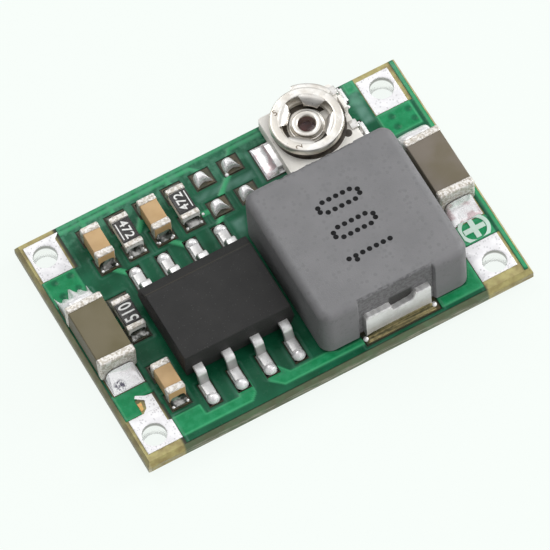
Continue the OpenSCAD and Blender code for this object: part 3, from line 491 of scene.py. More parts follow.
fine_grain = effect("Fine grain", {"Scale": 12.0, "Roughness": 0.6}, "Grain", grain_mask)
flecks = effect("Flecks", {"Scale": 12.0, "Cover": 0.2}, "Flecks", fleck_mask)
patches = effect("Patches", {"Scale": 1.5, "Edge": 0.12}, "Patches", patch_mask)
print("shared effects:", [g.name for g in bpy.data.node_groups])

# %% [markdown]
# # A finish in general
# Each finish starts from the same recipe: a colour that drifts towards a second one in soft
# patches, flecks of a third, roughness that follows the grain, and a bump a few thousandths of a
# millimetre deep. What makes tin look unlike ceramic is the values, and whether it is metal.

# %% The recipe
def start_finish(name):
    """A new material, its tree, its shader and the Object coordinates, listed under its name."""
    made = finishes[name] = bpy.data.materials.new(name + "_finish")
    made.use_nodes = True
    tree = made.node_tree
    return tree, tree.nodes["Principled BSDF"], add(tree, "ShaderNodeTexCoord").outputs["Object"]


def bumped(tree, shader, height, deep):
    """Bump by a height map; deep is in thousandths of a millimetre."""
    relief = add(tree, "ShaderNodeBump", {"Height": height, "Distance": deep * 1e-6, "Strength": 1.0})
    tree.links.new(relief.outputs[0], shader.inputs["Normal"])


def finish(name, colour, drift, patch=(1.5, 0.15), fleck=None, grain=(14.0, 0.6), rough=(0.35, 0.5),
           metal=0.0, bump=2.0, specular=0.5):
    """Colour drifting to drift in patches (scale per mm, edge), fleck is (colour, scale, cover),
    grain is (scale, roughness), rough runs from first to second, bump is in thousandths of a mm."""
    tree, shader, at = start_finish(name)
    base = blended(tree, use(tree, patches, at, Scale=patch[0], Edge=patch[1]), colour, drift)
    if fleck:
        base = blended(tree, use(tree, flecks, at, Scale=fleck[1], Cover=fleck[2]), base, fleck[0])
    fine = use(tree, fine_grain, at, Scale=grain[0], Roughness=grain[1])
    tree.links.new(base, shader.inputs["Base Color"])
    tree.links.new(ramp(tree, fine, 0, 1, *rough, smooth=False), shader.inputs["Roughness"])
    shader.inputs["Metallic"].default_value = metal
    shader.inputs["Specular IOR Level"].default_value = specular
    bumped(tree, shader, fine, bump)


# %% Tin and solder
finish("tinned_land", (0.93, 0.92, 0.925), (0.80, 0.785, 0.80), patch=(1.6, 0.22),
       fleck=((0.66, 0.65, 0.66), 10.0, 0.40), grain=(11.0, 0.65), rough=(0.42, 0.66), metal=0.30, bump=3.0)
finish("solder", (0.97, 0.96, 0.955), (0.90, 0.88, 0.88), patch=(3.0, 0.2), grain=(4.0, 0.45),
       rough=(0.20, 0.34), metal=0.40)
finish("bank_solder", (0.98, 0.975, 0.975), (0.89, 0.87, 0.88), patch=(2.0, 0.2), grain=(4.0, 0.45),
       rough=(0.18, 0.32), metal=0.32, bump=2.5)
# A dark finish with bright patches: painted reflection of the dark board and painted glints on steep solder.
finish("painted_reflection_solder", (0.040, 0.046, 0.038), (0.46, 0.45, 0.43), patch=(2.6, 0.10), grain=(6.0, 0.5),
       rough=(0.14, 0.28), metal=0.7, bump=3.0)
finish("pink_solder", (0.93, 0.92, 0.92), (0.66, 0.53, 0.54), patch=(2.0, 0.07), grain=(5.0, 0.5),
       rough=(0.2, 0.34), metal=0.6)
for name in ("tinned_lead", "gull_tin"):
    finish(name, (0.93, 0.92, 0.91), (0.82, 0.805, 0.79), patch=(3.5, 0.15), grain=(12.0, 0.6),
           rough=(0.26, 0.42), metal=0.60, bump=3.0)
finish("bare_copper", (0.72, 0.36, 0.15), (0.50, 0.42, 0.12), patch=(5.0, 0.1), rough=(0.3, 0.45), metal=0.6)
finish("end_cap_metal", (0.55, 0.505, 0.44), (0.80, 0.77, 0.73), patch=(9.0, 0.06),
       fleck=((0.46, 0.415, 0.35), 8.0, 0.22), grain=(9.0, 0.6), rough=(0.28, 0.5), metal=0.55, bump=14.0)
# Flux brown, and darkened further as painted shade, for the lands of the chip and the small parts.
finish("fluxed_land", (0.092, 0.068, 0.030), (0.040, 0.046, 0.022), patch=(2.6, 0.15), grain=(6.0, 0.6),
       rough=(0.34, 0.5), bump=4.0)
finish("fluxed_solder", (0.34, 0.28, 0.13), (0.060, 0.055, 0.022), patch=(1.8, 0.10), grain=(6.0, 0.6),
       rough=(0.16, 0.3), metal=0.6, bump=5.0)
print("tin and solder:", sorted(finishes))

# %% Ceramic, moulding and ink
finish("taupe_ceramic", (0.136, 0.114, 0.062), (0.172, 0.146, 0.098), patch=(0.7, 0.2), grain=(18.0, 0.6),
       rough=(0.42, 0.55), bump=1.2, specular=0.35)
finish("tan_ceramic", (0.470, 0.302, 0.142), (0.53, 0.355, 0.178), patch=(1.6, 0.2), grain=(18.0, 0.6),
       rough=(0.42, 0.55), bump=1.2, specular=0.35)
finish("alumina", (0.74, 0.73, 0.70), (0.68, 0.67, 0.64), rough=(0.4, 0.55))
finish("black_glaze", (0.020, 0.018, 0.017), (0.030, 0.028, 0.027), patch=(2.0, 0.2),
       fleck=((0.06, 0.055, 0.05), 12.0, 0.08), rough=(0.22, 0.34))
finish("black_moulding", (0.0205, 0.0200, 0.0195), (0.025, 0.0242, 0.0235), patch=(1.2, 0.2),
       fleck=((0.042, 0.041, 0.040), 18.0, 0.05), grain=(22.0, 0.7), rough=(0.5, 0.68), bump=2.5,
       specular=0.3)
finish("coil_powder", (0.205, 0.202, 0.206), (0.180, 0.178, 0.182), patch=(0.8, 0.25),
       fleck=((0.176, 0.175, 0.178), 5.0, 0.45), grain=(16.0, 0.75), rough=(0.48, 0.66), bump=5.0,
       specular=0.35)
finish("black_ink", (0.006, 0.006, 0.006), (0.012, 0.012, 0.013), patch=(9.0, 0.1), rough=(0.5, 0.65),
       bump=1.0, specular=0.12)
finish("white_ink", (0.84, 0.84, 0.82), (0.68, 0.68, 0.66), patch=(6.0, 0.2), rough=(0.45, 0.6), bump=1.0)
finish("pale_ink", (0.56, 0.70, 0.62), (0.50, 0.64, 0.55), patch=(2.2, 0.2), rough=(0.35, 0.5), bump=1.5)
print("with ceramic, moulding and ink:", len(finishes))

# %% The trimmer's finishes
finish("cream_ceramic", (0.93, 0.90, 0.84), (0.86, 0.82, 0.75), patch=(1.5, 0.2),
       fleck=((0.30, 0.28, 0.24), 8.0, 0.03), grain=(12.0, 0.6), rough=(0.38, 0.6), bump=4.0)
finish("black_track", (0.080, 0.062, 0.042), (0.045, 0.036, 0.026), rough=(0.35, 0.55))
finish("brush_metal", (0.84, 0.79, 0.70), (0.66, 0.60, 0.50), patch=(3.0, 0.15), rough=(0.3, 0.45), metal=0.1)
# Dark brown for the painted shadow under the rotor and beside a contact.
finish("painted_shadow_brown", (0.085, 0.068, 0.050), (0.040, 0.032, 0.024), patch=(3.0, 0.15), rough=(0.4, 0.6),
       metal=0.2)
finish("contact_metal", (0.80, 0.78, 0.75), (0.50, 0.47, 0.43), patch=(3.5, 0.10), grain=(6.0, 0.5),
       rough=(0.28, 0.42), metal=0.7, bump=3.0)
finish("trimmer_metal", (0.90, 0.875, 0.83), (0.72, 0.675, 0.61), patch=(1.3, 0.12), grain=(8.0, 0.55),
       rough=(0.26, 0.42), metal=1.0, bump=2.5)
finish("stamped_mark", (0.16, 0.12, 0.085), (0.26, 0.21, 0.16), patch=(6.0, 0.2), rough=(0.4, 0.5), metal=0.5)
# Red-brown flux in the eyelet's well, darkened as painted shade.
finish("shaded_flux", (0.105, 0.018, 0.012), (0.050, 0.010, 0.008), patch=(3.0, 0.2), rough=(0.12, 0.25),
       bump=4.0, specular=0.6)
print("finishes so far:", len(finishes))

# %% [markdown]
# # Marks of use and of making, and painted light
# Some finishes change over one piece: painted shade darkens the leads in their bends, flux has
# dried in one corner of the solder, a painted highlight runs along the chip's bevel edge, and
# painted shade and shadow line the coil's recess. Each of these is a mask by place, and it turns
# the colour towards another one. Object coordinates are metres, so limits in millimetres are
# brought to metres first.

# %% Masks by place
def located(name):
    """A finish's tree, its Object coordinates, and their x, y and z."""
    tree = finishes[name].node_tree
    at = add(tree, "ShaderNodeTexCoord").outputs["Object"]
    print(name, "changes from place to place")
    return tree, at, add(tree, "ShaderNodeSeparateXYZ", {0: at}).outputs


def ramp_mm(tree, value, low, high, *to):
    """A ramp over a length, with its limits in millimetres."""
    return ramp(tree, value, low * MM, high * MM, *to)


def off(tree, value, middle_at):
    """How far a length lies from a middle in millimetres, to either side."""
    return maths(tree, "ABSOLUTE", maths(tree, "SUBTRACT", value, middle_at * MM))


def stain(tree, mask, colour, how="MIX"):
    """Turns a finish's colour towards another where its mask is bright."""
    base = tree.nodes["Principled BSDF"].inputs["Base Color"]
    tree.links.new(blended(tree, mask, base.links[0].from_socket, colour, how), base)


# %% Dark flux on the left bank, and stretched flux along the coil's terminals
flux_spot = (-0.00795, -0.00202, 0.00105)
tree, at, _ = located("bank_solder")
apart = add(tree, "ShaderNodeVectorMath", {0: at, 1: flux_spot}, operation="DISTANCE").outputs["Value"]
broken = ramp(tree, use(tree, fine_grain, at, Scale=7.0, Roughness=0.7), 0.35, 0.62)
stain(tree, times(tree, ramp_mm(tree, apart, 0.34, 0.18), broken), (0.10, 0.09, 0.13))

tree, at, _ = located("fluxed_solder")
drawn = add(tree, "ShaderNodeMapping", {"Vector": at, "Scale": (0.16, 3.2, 3.2)}).outputs[0]
for node in [n for n in tree.nodes if n.type == "GROUP" and n.node_tree == patches]:
    tree.links.new(drawn, node.inputs["Vector"])

# %% Painted shade in the leads' bends, the left and the right ceramic, and a painted highlight on the chip's bevel edge
tree, _, xyz = located("gull_tin")
# Painted shade: the sloping part of each lead, between its bends, is darkened.
painted_bend_shade = times(tree, ramp_mm(tree, xyz["Z"], 1.17, 1.24), ramp_mm(tree, xyz["Z"], 1.72, 1.58), 0.7)
stain(tree, painted_bend_shade, (0.24, 0.23, 0.22))

tree, _, xyz = located("taupe_ceramic")
tint = blended(tree, ramp_mm(tree, xyz["X"], -2, 2), (0.92, 0.92, 0.80), (1.06, 1.06, 1.26))
stain(tree, 1.0, tint, "MULTIPLY")

tree, _, xyz = located("black_moulding")
# A painted highlight: a lighter line along the top's edge where the bevel starts.
along_line = ramp_mm(tree, off(tree, xyz["Y"], 0.30), 0.03, 0.01)
painted_bevel_highlight = times(tree, along_line, ramp_mm(tree, xyz["Z"], 2.3, 2.4), 0.5)
stain(tree, painted_bevel_highlight, (0.085, 0.070, 0.050))

# %% Painted shade on the faces of the coil's recess, and a painted shadow in its dip
coil_x, coil_y = middle(corners("coil_block"))[:2]
tree, at, xyz = located("coil_powder")
recess_shade_patches = ramp(tree, use(tree, fine_grain, at, Scale=7.0, Roughness=0.6), 0.3, 0.8, 0.10, 0.50)
across = ramp_mm(tree, off(tree, xyz["X"], coil_x), 1.70, 1.64)
on_wall = maths(tree, "SUBTRACT", off(tree, xyz["Y"], coil_y), 3.14 * MM)
on_wall = ramp_mm(tree, maths(tree, "ABSOLUTE", on_wall), 0.08, 0.04)
dip_shadow = times(tree, ramp_mm(tree, off(tree, xyz["X"], 3.15), 0.62, 0.45), ramp_mm(tree, xyz["Z"], 2.90, 2.62))
stain(tree, times(tree, across, on_wall, maths(tree, "MAXIMUM", dip_shadow, recess_shade_patches)), (0.026, 0.025, 0.023))

# %% The plated wall of a hole
# Painted shade darkens it just under the lip; below, it is bright, where it mirrors the floor.
tree, _, xyz = located("tinned_land")
shader = tree.nodes["Principled BSDF"]
inside = ramp_mm(tree, xyz["Z"], 0.96, 0.92)
stain(tree, inside, (0.98, 0.98, 0.97))
stain(tree, times(tree, inside, ramp_mm(tree, xyz["Z"], 0.68, 0.80)), (0.33, 0.325, 0.31))
tree.links.new(ramp(tree, inside, 0, 1, 0.30, 1.0), shader.inputs["Metallic"])
matt = shader.inputs["Roughness"].links[0].from_socket
tree.links.new(times(tree, matt, ramp(tree, inside, 0, 1, 1.0, 0.25)), shader.inputs["Roughness"])

# %% Painted shade low on the rotor ring's walls, and a darker tone on its lobes
ax, ay, _ = (np.array(frame["record"]["behaviour"]["joints"][0]["pos_m"]) / MM).tolist()
tree, at, xyz = located("trimmer_metal")
from_axis = add(tree, "ShaderNodeVectorMath", {0: at, 1: (ax * MM, ay * MM, 0)}, operation="SUBTRACT")
flat = add(tree, "ShaderNodeSeparateXYZ", {0: from_axis.outputs[0]}).outputs
around = maths(tree, "ADD", times(tree, flat["X"], flat["X"]), times(tree, flat["Y"], flat["Y"]))
around = maths(tree, "SQRT", around)
low_wall_shade = times(tree, ramp_mm(tree, around, 0.98, 1.04), ramp_mm(tree, xyz["Z"], 2.14, 1.98), 0.85)
stain(tree, low_wall_shade, (0.60, 0.55, 0.47))
on_lobes = times(tree, ramp_mm(tree, around, 1.15, 1.08), ramp_mm(tree, around, 0.70, 0.78), 0.7)
stain(tree, on_lobes, (0.66, 0.63, 0.59))
print("axis of the rotor:", round(ax, 2), round(ay, 2))

# %% [markdown]
# # Two finishes that need more
# The mask is clear green lacquer, so what lies under it sets its colour: dark over bare laminate,
# bright over copper, palest where it thins over the copper's edge, where a painted highlight also
# lies. A third mask holds painted sheen patches and painted highlights round the windows. The
# masks over copper, at its edges and of painted sheen are worked out with the mask's own surface
# and arrive as a colour attribute called tones. The laminate is glass cloth in resin: straw yellow
# where the corners are bare, grey green between them where the lacquer colours the light inside it.

# %% Solder mask
tree, shader, at = start_finish("solder_mask")
tones = add(tree, "ShaderNodeAttribute", attribute_name="tones").outputs["Color"]
split = add(tree, "ShaderNodeSeparateColor", {0: tones}).outputs
cloud = use(tree, patches, at, Scale=0.9, Edge=0.25)
streak = use(tree, patches, at, Scale=3.2, Edge=0.2)
bare = blended(tree, cloud, (0.004, 0.070, 0.030), (0.012, 0.120, 0.058))
over = blended(tree, streak, (0.008, 0.215, 0.075), (0.022, 0.270, 0.110))
green = blended(tree, split["Red"], bare, over)
# Palest over the copper's edges, where the lacquer thins, with a painted highlight there too.
green = blended(tree, split["Green"], green, (0.085, 0.46, 0.21))
# Painted sheen patches and painted highlights round the windows, a pale grey green.
green = blended(tree, split["Blue"], green, (0.130, 0.270, 0.215))
behind = ramp_mm(tree, add(tree, "ShaderNodeSeparateXYZ", {0: at}).outputs["Y"], 4.0, 4.7)
hazed = times(tree, behind, ramp(tree, streak, 0.0, 1.0, 0.15, 0.55))
tree.links.new(blended(tree, hazed, green, (0.10, 0.30, 0.19)), shader.inputs["Base Color"])
fine = use(tree, fine_grain, at, Scale=5.0, Roughness=0.45)
tree.links.new(ramp(tree, fine, 0, 1, 0.16, 0.30, smooth=False), shader.inputs["Roughness"])
shader.inputs["Specular IOR Level"].default_value = 0.16
bumped(tree, shader, fine, 5.0)
print("mask colours blend by attribute:", [s.name for s in split][:3])

# %% Laminate
# Threads of the cloth show as pale lines along the snapped web; the left end is palest of all.
tree, shader, at = start_finish("laminate")
place = add(tree, "ShaderNodeSeparateXYZ", {0: at}).outputs
along = maths(tree, "ABSOLUTE", place["Y"])
left_out = times(tree, ramp_mm(tree, place["X"], -6.90, -7.06), ramp_mm(tree, along, 2.4, 3.8, 0.35, 1.0))
straw_part = maths(tree, "MAXIMUM", ramp_mm(tree, place["X"], 6.55, 6.68), left_out)
cloud = use(tree, patches, at, Scale=2.2, Edge=0.18)
straw = blended(tree, cloud, (0.45, 0.40, 0.16), (0.28, 0.22, 0.085))
shaded = blended(tree, cloud, (0.090, 0.140, 0.070), (0.085, 0.100, 0.050))
# Painted shade: the laminate's top, bare in the windows round the lands, is much darker than its walls.
shaded = blended(tree, ramp_mm(tree, place["Z"], 0.91, 0.93), shaded, (0.026, 0.032, 0.015))
base = blended(tree, straw_part, shaded, straw)
flattened = add(tree, "ShaderNodeMapping", {"Vector": at, "Scale": (1500, 1500, 16000)}).outputs[0]
thread = add(tree, "ShaderNodeTexNoise", {"Vector": flattened, "Scale": 1.0, "Detail": 3.0}).outputs[0]
web = maths(tree, "SUBTRACT", 1.0, ramp_mm(tree, off(tree, place["Z"], 0.5), 0.08, 0.22))
frayed = times(tree, web, ramp(tree, thread, 0.46, 0.60), 0.6)
base = blended(tree, frayed, base, (0.44, 0.42, 0.33))
lower = ramp_mm(tree, place["Z"], 0.9, 0.1, 0.05, 0.85)
left_end = times(tree, ramp_mm(tree, place["X"], -8.46, -8.52), lower)
tree.links.new(blended(tree, left_end, base, (0.80, 0.77, 0.62)), shader.inputs["Base Color"])
shader.inputs["Roughness"].default_value = 0.55
bumped(tree, shader, thread, 12.0)
print("finishes:", len(finishes))

# %% [markdown]
# # The mask's surface
# The mask is a skin over the whole board with a window round every land. Windows are straight
# sided, so the grid's own lines are laid along their edges and the faces inside are left out:
# the windows come out exact. Copper under the skin lifts it by the foil's thickness over a soft
# edge. How near a point is to the copper is worked out as a distance: less than nothing inside.

# %% Distances to shapes on the board
def to_segment(x, y, ax, ay, bx, by):
    """Distance to a straight line from a to b: the point's place along it, held between its ends."""
    t = np.clip(((x - ax) * (bx - ax) + (y - ay) * (by - ay)) / ((bx - ax) ** 2 + (by - ay) ** 2), 0, 1)
    return np.hypot(x - ax - t * (bx - ax), y - ay - t * (by - ay))


def to_polygon(x, y, outline):
    """Signed distance to a polygon: the least distance to any side, negative inside, where inside
    is where a ray to the right crosses an odd number of sides."""
    a = np.asarray(outline, float)
    least, inside = np.full(x.shape, np.inf), np.zeros(x.shape, bool)
    for (ax, ay), (bx, by) in zip(a, np.roll(a, -1, axis=0)):
        least = np.minimum(least, to_segment(x, y, ax, ay, bx, by))
        inside ^= ((ay > y) != (by > y)) & (x < (bx - ax) * (y - ay) / (by - ay + 1e-12) + ax)
    return np.where(inside, -least, least)


def to_run(x, y, a, b, width):
    """Distance to a straight run of copper: distance to its middle line, less half its width."""
    return to_segment(x, y, *a, *b) - width / 2


def to_box(x, y, x0, x1, y0, y1):
    """Signed distance to a rectangle, from how far a point is past its sides each way."""
    dx = np.abs(x - (x0 + x1) / 2) - (x1 - x0) / 2
    dy = np.abs(y - (y0 + y1) / 2) - (y1 - y0) / 2
    return np.hypot(np.maximum(dx, 0), np.maximum(dy, 0)) + np.minimum(np.maximum(dx, dy), 0)


def step_down(d, soft):
    """One inside a shape, none outside, over a band twice as wide as soft."""
    t = np.clip((soft - d) / (2 * soft), 0, 1)
    return t * t * (3 - 2 * t)


def hump(d, middle_at, width):
    """A bell curve of a distance: exp of minus the square of (d - middle) / width."""
    return np.exp(-((d - middle_at) / width) ** 2)


print("half way down a soft edge:", step_down(0.0, 0.05), "; top of a hump:", hump(0.1, 0.1, 0.02))

# %% Where copper lies under the mask
rail, wide, narrow = 5.17, 0.20, 0.13
pours = [
    rectangle(-8.44, -7.06, 2.2, 3.52), rectangle(-8.44, -7.0, -3.55, -2.3),
    [(-6.82, -5.2), (-3.75, -5.2), (-3.45, -4.9), (-3.45, -4.3), (-4.0, -4.3), (-4.1, -4.78), (-5.58, -4.78),
     (-5.62, -4.28), (-6.82, -4.28)],
    [(-2.28, -5.2), (-2.78, -4.75), (-2.78, -4.3), (-2.2, -4.3), (-1.85, -4.76), (-0.2, -4.76), (0.2, -4.95),
     (1.26, -4.95), (1.26, -5.2)],
    [(4.7, -5.3), (4.7, -4.9), (6.0, -4.9), (6.56, -4.0), (6.56, -5.3)],
    rectangle(6.66, 8.14, 2.38, 3.52), rectangle(6.16, 6.6, 4.95, 5.44), rectangle(6.86, 8.16, -3.4, -2.36),
    rectangle(8.34, 8.46, -5.4, 5.4), rectangle(-6.8, 2.22, 5.33, 5.46),
]
runs = [((-6.8, rail), (-0.98, rail), narrow), ((-1.0, 5.2), (-0.62, 4.82), narrow),
        ((0.6, 4.85), (0.86, 5.2), narrow), ((0.8, rail), (2.22, rail), narrow),
        ((-5.72, 2.72), (-5.05, 2.02), wide), ((-3.2, 2.72), (-2.52, 2.02), wide),
        ((-0.8, 2.74), (-1.2, 2.24), wide), ((-0.42, 3.5), (0.28, 4.16), wide),
        ((-1.6, 3.08), (-1.1, 3.08), wide), ((-3.62, 4.22), (-4.02, 3.72), wide)]
runs += [((x, 5.2), (x, 4.9), wide) for x in (-5.8, -4.53, -1.99)]
plugged_holes = [(-8.03, 3.31), (-7.33, 3.31), (-8.0, 2.62), (-7.3, 2.64),
                 (7.16, 3.2), (7.92, 3.2), (7.14, 2.68), (7.95, 2.7)]
# Patches of painted sheen: painted reflection of the bright surroundings on the glossy mask.
sheen_patches = [
    [(-0.7, 2.25), (-0.05, 2.25), (-0.35, 1.5), (-0.65, 1.4)],
    [(-5.2, 1.9), (-4.6, 1.9), (-4.7, 2.05), (-5.2, 2.05)],
    rectangle(-1.4, 0.3, 3.62, 3.98), rectangle(-0.2, 1.2, 3.5, 3.9), rectangle(1.25, 1.4, 3.1, 4.7),
    rectangle(-0.12, 0.02, 4.4, 5.0), rectangle(6.05, 6.55, 3.4, 5.0),
]
print("pours:", len(pours), "runs:", len(runs))

# %% Windows round the lands
def window(boxes, gap):
    """Sides of each box, moved out by a gap."""
    return [(a[0] - gap, b[0] + gap, a[1] - gap, b[1] + gap) for a, b in boxes]


windows = window(solids("small_part_lands") + solids("trimmer_lands"), 0.07)
windows += window(solids("chip_lands"), 0.05) + window(big_lands + solids("coil_lands"), 0.06)
past_edge = 9
windows += [(-past_edge, -6.84, 3.52, 6), (-past_edge, -6.84, -6, -3.52), (-7.76, -6.88, -3.6, -2.86),
            (6.64, 8.30, 3.52, 6), (6.56, 8.30, -6, -3.44)]


def lines(half, gap, extra):
    """Even grid lines with the window edges laid in among them; lines too near an edge are dropped."""
    even = np.linspace(-half, half, int(round(2 * half / gap)) + 1)
    extra = np.unique(np.round([e for e in extra if -half < e < half], 4))
    even = even[np.abs(even[:, None] - extra[None, :]).min(1) > gap * 0.3]
    return np.unique(np.concatenate([[-half], even, extra, [half]]))


mask_half_x, mask_half_y, grid_gap = 8.48, 5.48, 0.062
gx = lines(mask_half_x, grid_gap, [v for w in windows for v in w[:2]])
gy = lines(mask_half_y, grid_gap, [v for w in windows for v in w[2:]])
X, Y = np.meshgrid(gx, gy, indexing="ij")
print("mask grid:", X.shape, "windows:", len(windows))


# %% Height of the skin
def nearest(distance, shapes, x=X, y=Y):
    """The least of the distances to many shapes, for every point of a grid."""
    return np.min([distance(x, y, *shape) for shape in shapes], axis=0)


film_low, film_high, board_top, foil = 0.935, 0.965, 1.0, 0.035
wires = nearest(to_run, runs)
copper = np.minimum(nearest(to_polygon, [(shape,) for shape in pours]), wires)
sheen_distance = nearest(to_polygon, [(shape,) for shape in sheen_patches])
near = nearest(to_box, windows)
pit = nearest(lambda x, y, a, b: np.hypot(x - a, y - b), plugged_holes)
lift = step_down(copper, 0.05)
dimple = 0.03 * step_down(pit - 0.13, 0.05)
lip = 0.012 * hump(near, 0.09, 0.06) * (1 - lift)
Z = np.minimum(film_high + foil * lift - dimple + lip, board_top)
print("the skin's height runs from", round(Z.min(), 3), "to", round(Z.max(), 3))

# %% Tones of the skin: over copper, at its edges with a painted highlight, and painted sheen
over_copper = lift * (1 - 0.75 * step_down(pit - 0.14, 0.05))
at_edges = np.maximum(0.55 * hump(copper, -0.02, 0.035), 0.60 * step_down(wires + 0.01, 0.06))
patchy = 0.5 + 0.5 * np.sin(2.3 * X + 1.7 * np.sin(1.9 * Y)) * np.sin(2.9 * Y + 1.3)
mottled = 0.5 + 0.5 * np.sin(5.1 * X + 2.2 * np.sin(4.3 * Y)) * np.sin(6.3 * Y + 1.9 * np.sin(3.7 * X))
# A painted highlight along the mask's rim round each window.
rim_highlight = 0.35 * hump(near, 0.10, 0.035) * patchy
painted_sheen = (0.25 + 0.6 * mottled) * step_down(sheen_distance + 0.05 * mottled, 0.12) * (1 - lift)
tones = np.stack([over_copper, at_edges, np.maximum(painted_sheen, rim_highlight)], -1).reshape(-1, 3)
middles = np.meshgrid((gx[1:] + gx[:-1]) / 2, (gy[1:] + gy[:-1]) / 2, indexing="ij")
kept = nearest(to_box, windows, *middles) > 0
faces = grid_faces(len(gx), len(gy))[:, ::-1].reshape(*kept.shape, 4)[kept]
print("faces kept:", len(faces), "of", kept.size)

# %% The skirt that closes the mask's edges
def skirt(kept, low):
    """A face drops to the laminate wherever a kept face has no kept neighbour. Gives the points of
    its lower edge, its faces, and the grid point that is above each lower point."""
    padded = np.pad(kept, 1)
    index = np.arange(X.size).reshape(X.shape)
    sides = {(-1, 0): ((0, 0), (0, 1)), (1, 0): ((1, 1), (1, 0)),
             (0, -1): ((1, 0), (0, 0)), (0, 1): ((0, 1), (1, 1))}
    found = []
    for (di, dj), (a, b) in sides.items():
        neighbour = padded[1 + di:padded.shape[0] - 1 + di, 1 + dj:padded.shape[1] - 1 + dj]
        i, j = np.nonzero(kept & ~neighbour)
        found.append(np.stack([index[i + a[0], j + a[1]], index[i + b[0], j + b[1]]], -1))
    pairs = np.concatenate(found)
    ends, back = np.unique(pairs, return_inverse=True)
    back = back.reshape(pairs.shape) + X.size
    points = paired(X.ravel()[ends], Y.ravel()[ends], low)
    return points, np.stack([pairs[:, 0], pairs[:, 1], back[:, 1], back[:, 0]], -1), ends


drop, drop_faces, ends = skirt(kept, film_low)
points = np.concatenate([paired(X.ravel(), Y.ravel(), Z.ravel()), drop])
tones = np.concatenate([tones, tones[ends] * 0.5])
used, faces = np.unique(np.concatenate([faces, drop_faces]), return_inverse=True)
piece("mask_skin", (points[used], faces.reshape(-1, 4)), "solder_mask", "mask_top", tones=tones[used])

# %% [markdown]
# # Corner lands
# Each corner land is one piece of copper with a plated hole: a plate on top, a tube through the
# board and a plate below. Seen from the hole's axis every outline is a distance in each direction,
# so the whole land is rings of points, all at the same angles, stacked from the top plate's edge
# through the hole to the plate below and back.

# %% A land from its outline
def reach(outline, angle):
    """Distance from the origin to an outline in each direction: the least positive crossing of a
    ray with the outline's sides."""
    a = np.asarray(outline, float)
    side = np.roll(a, -1, axis=0) - a
    ray = np.stack([np.cos(angle), np.sin(angle)], -1)[:, None, :]
    across = ray[..., 0] * side[:, 1] - ray[..., 1] * side[:, 0]
    across = np.where(np.abs(across) < 1e-9, 1e-9, across)
    t = (a[:, 0] * side[:, 1] - a[:, 1] * side[:, 0]) / across
    u = (a[:, 0] * ray[..., 1] - a[:, 1] * ray[..., 0]) / across
    return np.where((t > 0) & (u >= -1e-6) & (u <= 1 + 1e-6), t, np.inf).min(1)


def plated_land(outline, below, x, y, top, foot, hole=0.5, wall=0.035, film=0.05):
    """Rings: outer edge of the top plate, its rounded shoulder, the hole's lip, down the hole,
    out over the plate below and up round the tube."""
    to_corners = [np.mod(np.arctan2(*np.asarray(o, float)[:, ::-1].T), 2 * np.pi) for o in (outline, below)]
    turn = np.concatenate([np.linspace(0, 2 * np.pi, 96, endpoint=False), *to_corners])
    turn = np.unique(np.round(turn, 5))
    out, under = reach(outline, turn), reach(below, turn)
    plan = [(out, top - film), (out, top - 0.012), (out - 0.02, top), (hole + 0.03, top + 0.004),
            (hole + 0.006, top - 0.008), (hole, top - 0.03), (hole, foot + 0.03), (hole + 0.02, foot),
            (under - 0.02, foot), (under, foot + 0.012), (under, foot + film),
            (hole + wall, foot + film), (hole + wall, top - film)]
    rings = [paired(x + r * np.cos(turn), y + r * np.sin(turn), z) for r, z in plan]
    return np.concatenate(rings), [f[::-1] for f in grid_faces(len(plan), len(turn), True, True)]


plate_below = rectangle(-0.75, 0.75, -0.75, 0.75)
print("reach of the plate below:", reach(plate_below, np.radians([0, 45])).round(3).tolist())

# %% The four lands
# The front left land has an arm that runs on from its back edge, as a short stack of its outline.
bores = [m for m in frame["record"]["mounts"] if m["kind"] == "bore"]
hole_at = {m["name"]: np.array(m["pos_m"][:2]) / MM for m in bores}
land_top, land_foot = 0.985, 0.015
outlines = {
    "back_left": [(-0.61, -1.0), (0.72, -1.0), (0.72, 0.53), (0.92, 0.57), (0.92, 0.75), (-0.61, 0.75)],
    "front_left": [(-0.61, -0.65), (0.91, -0.65), (0.91, 0.25), (0.75, 0.30), (0.75, 1.0), (-0.61, 1.0)],
    "back_right": rectangle(-0.79, 0.65, -1.0, 0.73),
    "front_right": rectangle(-0.87, 0.71, -0.57, 1.09),
}
arms = {"front_left": [(0.06, 0.98), (0.75, 0.98), (0.75, 1.62), (0.49, 1.66), (0.13, 1.85), (0.05, 1.74),
                       (0.37, 1.51), (0.27, 1.15)]}
for name, outline in outlines.items():
    hole = hole_at["wire_hole_" + name]
    shapes = [plated_land(outline, plate_below, *hole, land_top, land_foot)]
    if name in arms:
        shapes.append(stacked([at_height(arms[name] + hole, z) for z in (film_low, 0.992, 1.002)]))
    piece("land_" + name, joined(shapes), "tinned_land", "corner_land_" + name, sharp=40)

# %% [markdown]
# # The chip
# The body is moulded in two halves, so its sides lean in above and below a parting line, and the
# long edge by pin one is bevelled. That is a stack of rounded rectangles: four levels give the
# sides, four the bevel, and two more round the top edge.

# %% Chip body
low, high = corners("chip_body")
chip_y = middle((low, high))[1]
parting = 1.72
draft, bevel, bevel_deep, top_edge = 0.1, 0.56, 0.36, 0.035


def chip_level(z, inset, back=0.0):
    """The body's outline at height z, drawn in all round by inset and once more at the back."""
    return level(low[0] + inset, high[0] - inset, low[1] + inset, high[1] - inset - back, z, 0.05, 3)


